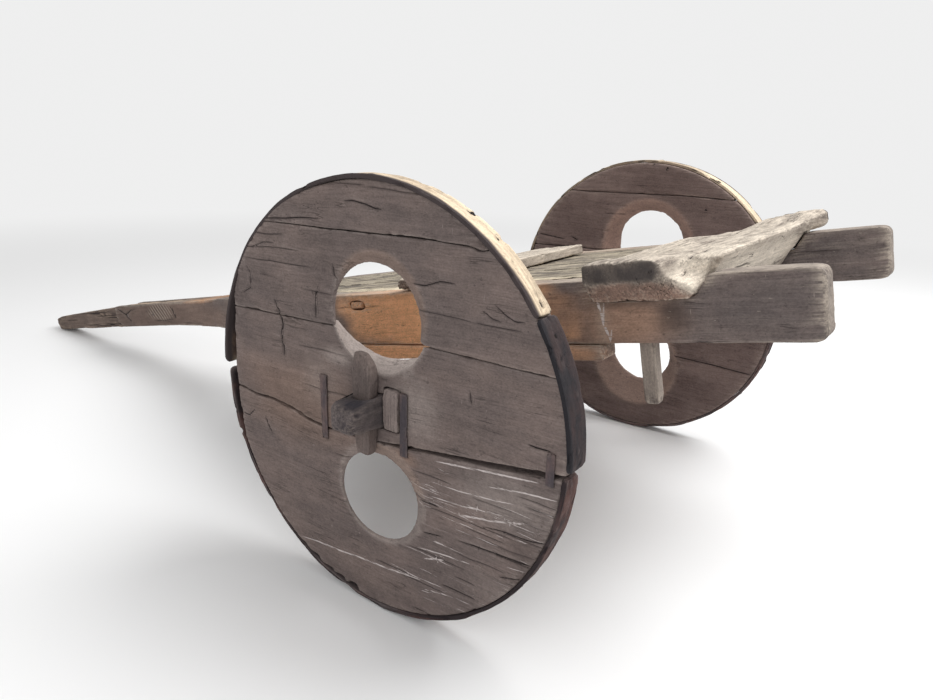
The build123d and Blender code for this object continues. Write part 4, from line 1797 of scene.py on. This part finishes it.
@dataclass
class Bed(Assembly):
    """The bed: side beams, pole, floor and rails, slab and bolster, stakes, pegs and planks."""

    slab_end: float = 550.0

    BODY = "bed"

    def sides(self) -> None:
        """Builds each side's beam, plank, stake and pegs."""
        # Tone, middle and half sizes along and across, amount, and softness
        rows = (
            (Tone.WARM, (-540, 150), (150, 110), 0.2, 0.8),
            (Tone.WARM, (2150, 165), (700, 110), 0.08, 0.4),
            # Painted shade darkening the beams' tips
            (Tone.STAIN_AND_SHADE, (2150, 165), (620, 130), 0.22, 0.4),
            (Tone.STAIN_AND_SHADE, (2440, 165), (290, 130), 0.45, 0.3),
            (Tone.SCORED, (2270, 172), (125, 46), 0.85, 0.4),
            (Tone.WARM, (1850, 226), (190, 20), 0.7, 0.8),
            (Tone.PALE, (2400, 224), (340, 6), 0.8, 0.9),
            # Painted sunlight along the rear part of the beams' top edges
            (Tone.PALE, (-250, 250), (760, 6), 0.6, 0.9),
            (Tone.PALE, (-996, 165), (7, 90), 0.5, 0.9),
            (Tone.PALE, (-486, 160), (16, 84), 0.35, 0.9),
            (Tone.STAIN_AND_SHADE, (-668, 160), (46, 50), 0.75, 0.9),
            (Tone.STAIN_AND_SHADE, (-560, 184), (150, 14), 0.55, 0.9),
        )
        marks = (
            Mark(((-466, 236), (-478, 190), (-488, 140), (-505, 86)), 4.5, 0.0, Kind.SCAR),
            Mark(((2690, 204), (2610, 168), (2540, 196)), 2.6, 3.0, face=Face.BOTH),
            Mark(((2610, 168), (2565, 128)), 2.2, 2.0, face=Face.BOTH),
            Mark(((2152, 202), (2118, 136)), 3.4, 3.0, face=Face.BOTH),
        )
        # The warm patch by the axle is painted warm bounce light, full on the left beam
        for side, cell, warm in ((Side.LEFT, 5.0, 1.0), (Side.RIGHT, 6.0, 0.3)):
            seed = 60 + side.value
            self.piece(
                f"{side.word}_side_beam", "frame_wood", self.lays.beam(side), Finish.FRAME,
                cell=cell, stretch=3.0, rounds=3, wave=1.8, ridges=0.8, nicks=0.9, hewn=0.5, seed=seed,
                patches=(Patch(Tone.WARM, (40, 165), (440, 125), warm), *(Patch(*row) for row in rows)),
                splits=(Splits(seed, 7, (-950, 2600), (90, 240), (80, 300), (0.3, 0.8), 2.0, Face.BOTH),),
                marks=marks,
            )
            # Painted warm bounce light along each bearing plank
            self.piece(
                f"{side.word}_bearing_plank", "frame_wood", self.lays.lengthwise, Finish.FRAME,
                cell=5.0, stretch=2.5, seed=seed + 5, patches=(Patch(Tone.WARM, (40, 60), (500, 60)),),
            )
            for name in ("stake", "front_axle_peg", "rear_axle_peg"):
                self.piece(
                    f"{side.word}_{name}", "frame_wood", self.lays.upright, Finish.FRAME,
                    cell=3.6, stretch=1.8, nicks=2.4, seed=seed + 9,
                    patches=(Patch(Tone.PALE, (40, -590), (160, 40), 0.4, 0.8),),
                )

    def middle(self) -> None:
        """Builds the pole and its pins, the floor and the rails."""
        self.piece(
            "centre_pole", "frame_wood", self.lays.lengthwise, Finish.POLE,
            cell=5.0, stretch=4.2, wave=2.6, ridges=1.0, nicks=2.6, hewn=1.4, seed=71,
            splits=(Splits(72, 30, (-600, 3500), (90, 230), (80, 420), (0.6, 1.4), 3.0, Face.BOTH),),
            patches=(
                Patch(Tone.WARM, (1870, 232), (190, 26), 0.9, 0.8),
                Patch(Tone.PALE, (2500, 218), (420, 9), 0.6, 0.9),
            ),
        )
        for number in range(1, 7):
            self.piece(
                f"floor_board_{number}", "floor_wood", self.lays.floor, Finish.FLOOR,
                cell=4.2, stretch=3.4, rounds=3, wave=2.2, ridges=2.2, nicks=3.0, hewn=1.0, seed=80 + number,
                splits=(Splits(90 + number, 14, (-450, 1100), (-420, 420), (120, 600), (0.8, 2.2), 5.0),),
                # Painted sunlight on the near strip of the floor
                patches=(Patch(Tone.PALE, (300, 400), (900, 60), 0.9, 0.6),),
            )
        for name in ("rear_rail", "axle_rail", "middle_rail", "front_rail"):
            ends = tuple(Patch(Tone.WARM, (side.value * 490, 0), (50, 600), 0.9, 0.4) for side in Side)
            self.piece(
                name, "frame_wood", self.lays.crosswise, Finish.FRAME,
                cell=5.0, stretch=3.0, seed=75, patches=ends,
            )
        self.piece(
            "tip_pins", "frame_wood", self.lays.crosswise, Finish.FRAME,
            cell=2.5, stretch=1.5, rounds=2, seed=76,
        )

    def rear(self) -> None:
        """Builds the slab and the bolster."""
        end = self.slab_end
        # Tone, middle and half sizes ahead and up, amount, softness, and limits from side to side
        rows = (
            # Painted shade on the slab's near end face
            (Tone.STAIN_AND_SHADE, (-570, 268), (122, 44), 1.3, 0.25, end - 6, end + 50),
            # Painted warm bounce light on the end's undercut
            (Tone.WARM, (-600, 204), (190, 38), 1.0, 0.4, end - 60, end + 50),
            # Painted sunlight on the chipped facet
            (Tone.PALE, (-735, 250), (62, 56), 1.0, 0.4, end - 100, end + 50),
            # Painted sunlight on the rear face
            (Tone.PALE, (-740, 190), (40, 110), 0.7, 0.8, -600, 450),
        )
        self.piece(
            "rear_cross_slab", "slab_wood", self.lays.crosswise, Finish.SLAB,
            cell=4.3, stretch=1.8, rounds=4, wave=3.0, ridges=1.8, nicks=1.6, hewn=2.6, seed=77,
            splits=(Splits(78, 16, (-400, 520), (-780, -470), (80, 300), (0.5, 1.3), 4.0, Face.BOTH),),
            shifts=(
                Shift((-500, -463, 290), (330, 170, 40), (0, 0, -20)),
                Shift((end, -560, 300), (170, 130, 60), (0, 0, 9), 0.5),
                Shift((end - 50, -620, 194), (80, 240, 30), (0, 0, -7), 0.5),
            ),
            softened=(
                Soft((end, -560, 250), (90, 100, 80), 6),
                Soft((end - 40, -735, 262), (90, 90, 60), 30),
            ),
            patches=tuple(Patch(*row, axes=(1, 2), within=(low, high)) for *row, low, high in rows),
        )
        self.piece(
            "bolster", "slab_wood", self.lays.crosswise, Finish.SLAB,
            cell=4.2, stretch=2.2, rounds=5, rounding=0.6, wave=3.0, ridges=1.8, nicks=3.0, hewn=2.0, seed=79,
            # Painted warm bounce light on the bolster's near end
            patches=(Patch(Tone.WARM, (495, 95), (26, 130), 0.9, 0.7),),
        )

    def build(self) -> None:
        """Builds every piece of the bed."""
        self.sides()
        self.middle()
        self.rear()


@dataclass
class Stage:
    """A plain pale floor, soft studio light and the camera."""

    lays: Lays

    # The floor, how light it is where it is lit and where it is seen, and where it fades into the background
    floor_half: float = 40.0
    floor_z: float = -0.001
    floor_tone: float = 0.80
    floor_rough: float = 0.9
    floor_gloss: float = 0.1
    shown_tone: float = 0.90
    sky_tone: float = 0.86
    fade_from: float = 3.2
    fade_to: float = 9.0
    ambient: float = 0.62

    # The camera, with its focal length in pixels, its place from the foot of the axle's middle, and its axes
    photo_width: float = 933.0
    focal_length: float = 727.06
    sensor: float = 36.0
    eye: Triple = (-1.20935, 2.11465, 1.26301)
    look: Triple = (0.563086, -0.774016, -0.289540)
    right: Triple = (-0.804740, -0.593259, 0.020911)

    # Each lamp's name, its place and aim from that foot, the side of its square, and its watts
    LAMPS = (
        ("overhead", (-2.5, -2.0, 6.0), (0.0, 0.0, 0.4), 5.0, 420.0),
        ("front", (-1.0, 6.0, 3.5), (0.0, 0.0, 0.5), 5.0, 90.0),
    )

    def __post_init__(self) -> None:
        """Finds the foot of the axle's middle."""
        self.foot = Vector((self.lays.axle_x, 0.0, 0.0))

    def camera(self) -> None:
        """The camera at the photograph's place."""
        data = bpy.data.cameras.new("camera")
        data.sensor_width = self.sensor
        data.lens = self.sensor * self.focal_length / self.photo_width
        made = placed("camera", data)
        right, back = Vector(self.right), -Vector(self.look)
        turned = Matrix((right, back.cross(right), back)).transposed().to_4x4()
        made.matrix_world = Matrix.Translation(Vector(self.eye) + self.foot) @ turned
        bpy.context.scene.camera = made

    def grey(self, tone: float) -> Colour:
        """A grey of a linear tone."""
        return tone, tone, tone, 1.0

    def floor(self) -> None:
        """A floor that fades into the background."""
        graph = Graph(bpy.data.materials.new("pale_floor"))
        half = self.floor_half
        mesh = bpy.data.meshes.new("floor")
        corners = [(-half, -half, 0), (half, -half, 0), (half, half, 0), (-half, half, 0)]
        mesh.from_pydata(corners, [], [(0, 1, 2, 3)])
        place = graph.node("TexCoord").outputs["Object"]
        far = graph.node("VectorMath", {"operation": "LENGTH"}, {0: place}).outputs["Value"]
        seen = self.seen(graph)
        fade = Value(graph, far).step(self.fade_from, self.fade_to) * seen
        tone = graph.mix(seen, self.grey(self.floor_tone), self.grey(self.shown_tone))
        sockets = {"Base Color": tone, "Roughness": self.floor_rough, "Specular IOR Level": self.floor_gloss}
        shader = graph.node("BsdfPrincipled", None, sockets)
        glow = graph.node("Emission", None, {0: self.grey(self.sky_tone), 1: 1.0})
        both = graph.node("MixShader", None, {0: fade, 1: shader.outputs[0], 2: glow.outputs[0]})
        graph.node("OutputMaterial", None, {"Surface": both.outputs[0]})
        mesh.materials.append(graph.owner)
        made = placed("floor", mesh)
        made.location.z = self.floor_z

    def seen(self, graph: Graph) -> Value:
        """1 for rays that show the background itself, to the camera or in a gloss.

        Args:
            graph: The nodes that ask.

        Returns:
            The share.
        """
        path = graph.node("LightPath").outputs
        kinds = ("Camera", "Glossy", "Transmission")
        camera, glossy, passed = (Value(graph, path[f"Is {kind} Ray"]) for kind in kinds)
        return (camera + glossy + passed).held()

    def world(self) -> None:
        """Even light from all round, and a pale background."""
        world = bpy.data.worlds.new("studio")
        bpy.context.scene.world = world
        graph = Graph(world)
        tone = graph.mix(self.seen(graph), self.grey(self.ambient), self.grey(self.sky_tone))
        back = graph.node("Background", None, {0: tone, 1: 1.0})
        graph.node("OutputWorld", None, {0: back.outputs[0]})

    def lamps(self) -> None:
        """The large soft lamps."""
        for name, place, aim, size, watts in self.LAMPS:
            data = bpy.data.lights.new(name, "AREA")
            data.shape, data.size, data.energy = "SQUARE", size, watts
            made = placed(name, data)
            made.location = Vector(place) + self.foot
            made.rotation_euler = (Vector(aim) - Vector(place)).to_track_quat("-Z", "Y").to_euler()

    def build(self) -> None:
        """Sets the whole stage."""
        self.camera()
        self.floor()
        self.world()
        self.lamps()
        bpy.context.scene.view_settings.view_transform = "Standard"


def main() -> None:
    """Builds the cart and its stage, and writes how big it came out."""
    logging.basicConfig(level=logging.INFO, format="%(message)s")
    lays = Lays()
    Wheel(lays, Side.LEFT, Finish.WHEEL).build()
    Wheel(lays, Side.RIGHT, Finish.FAR_WHEEL).build()
    Axle(lays).build()
    Bed(lays).build()
    Stage(lays).build()


if __name__ == "__main__":
    main()
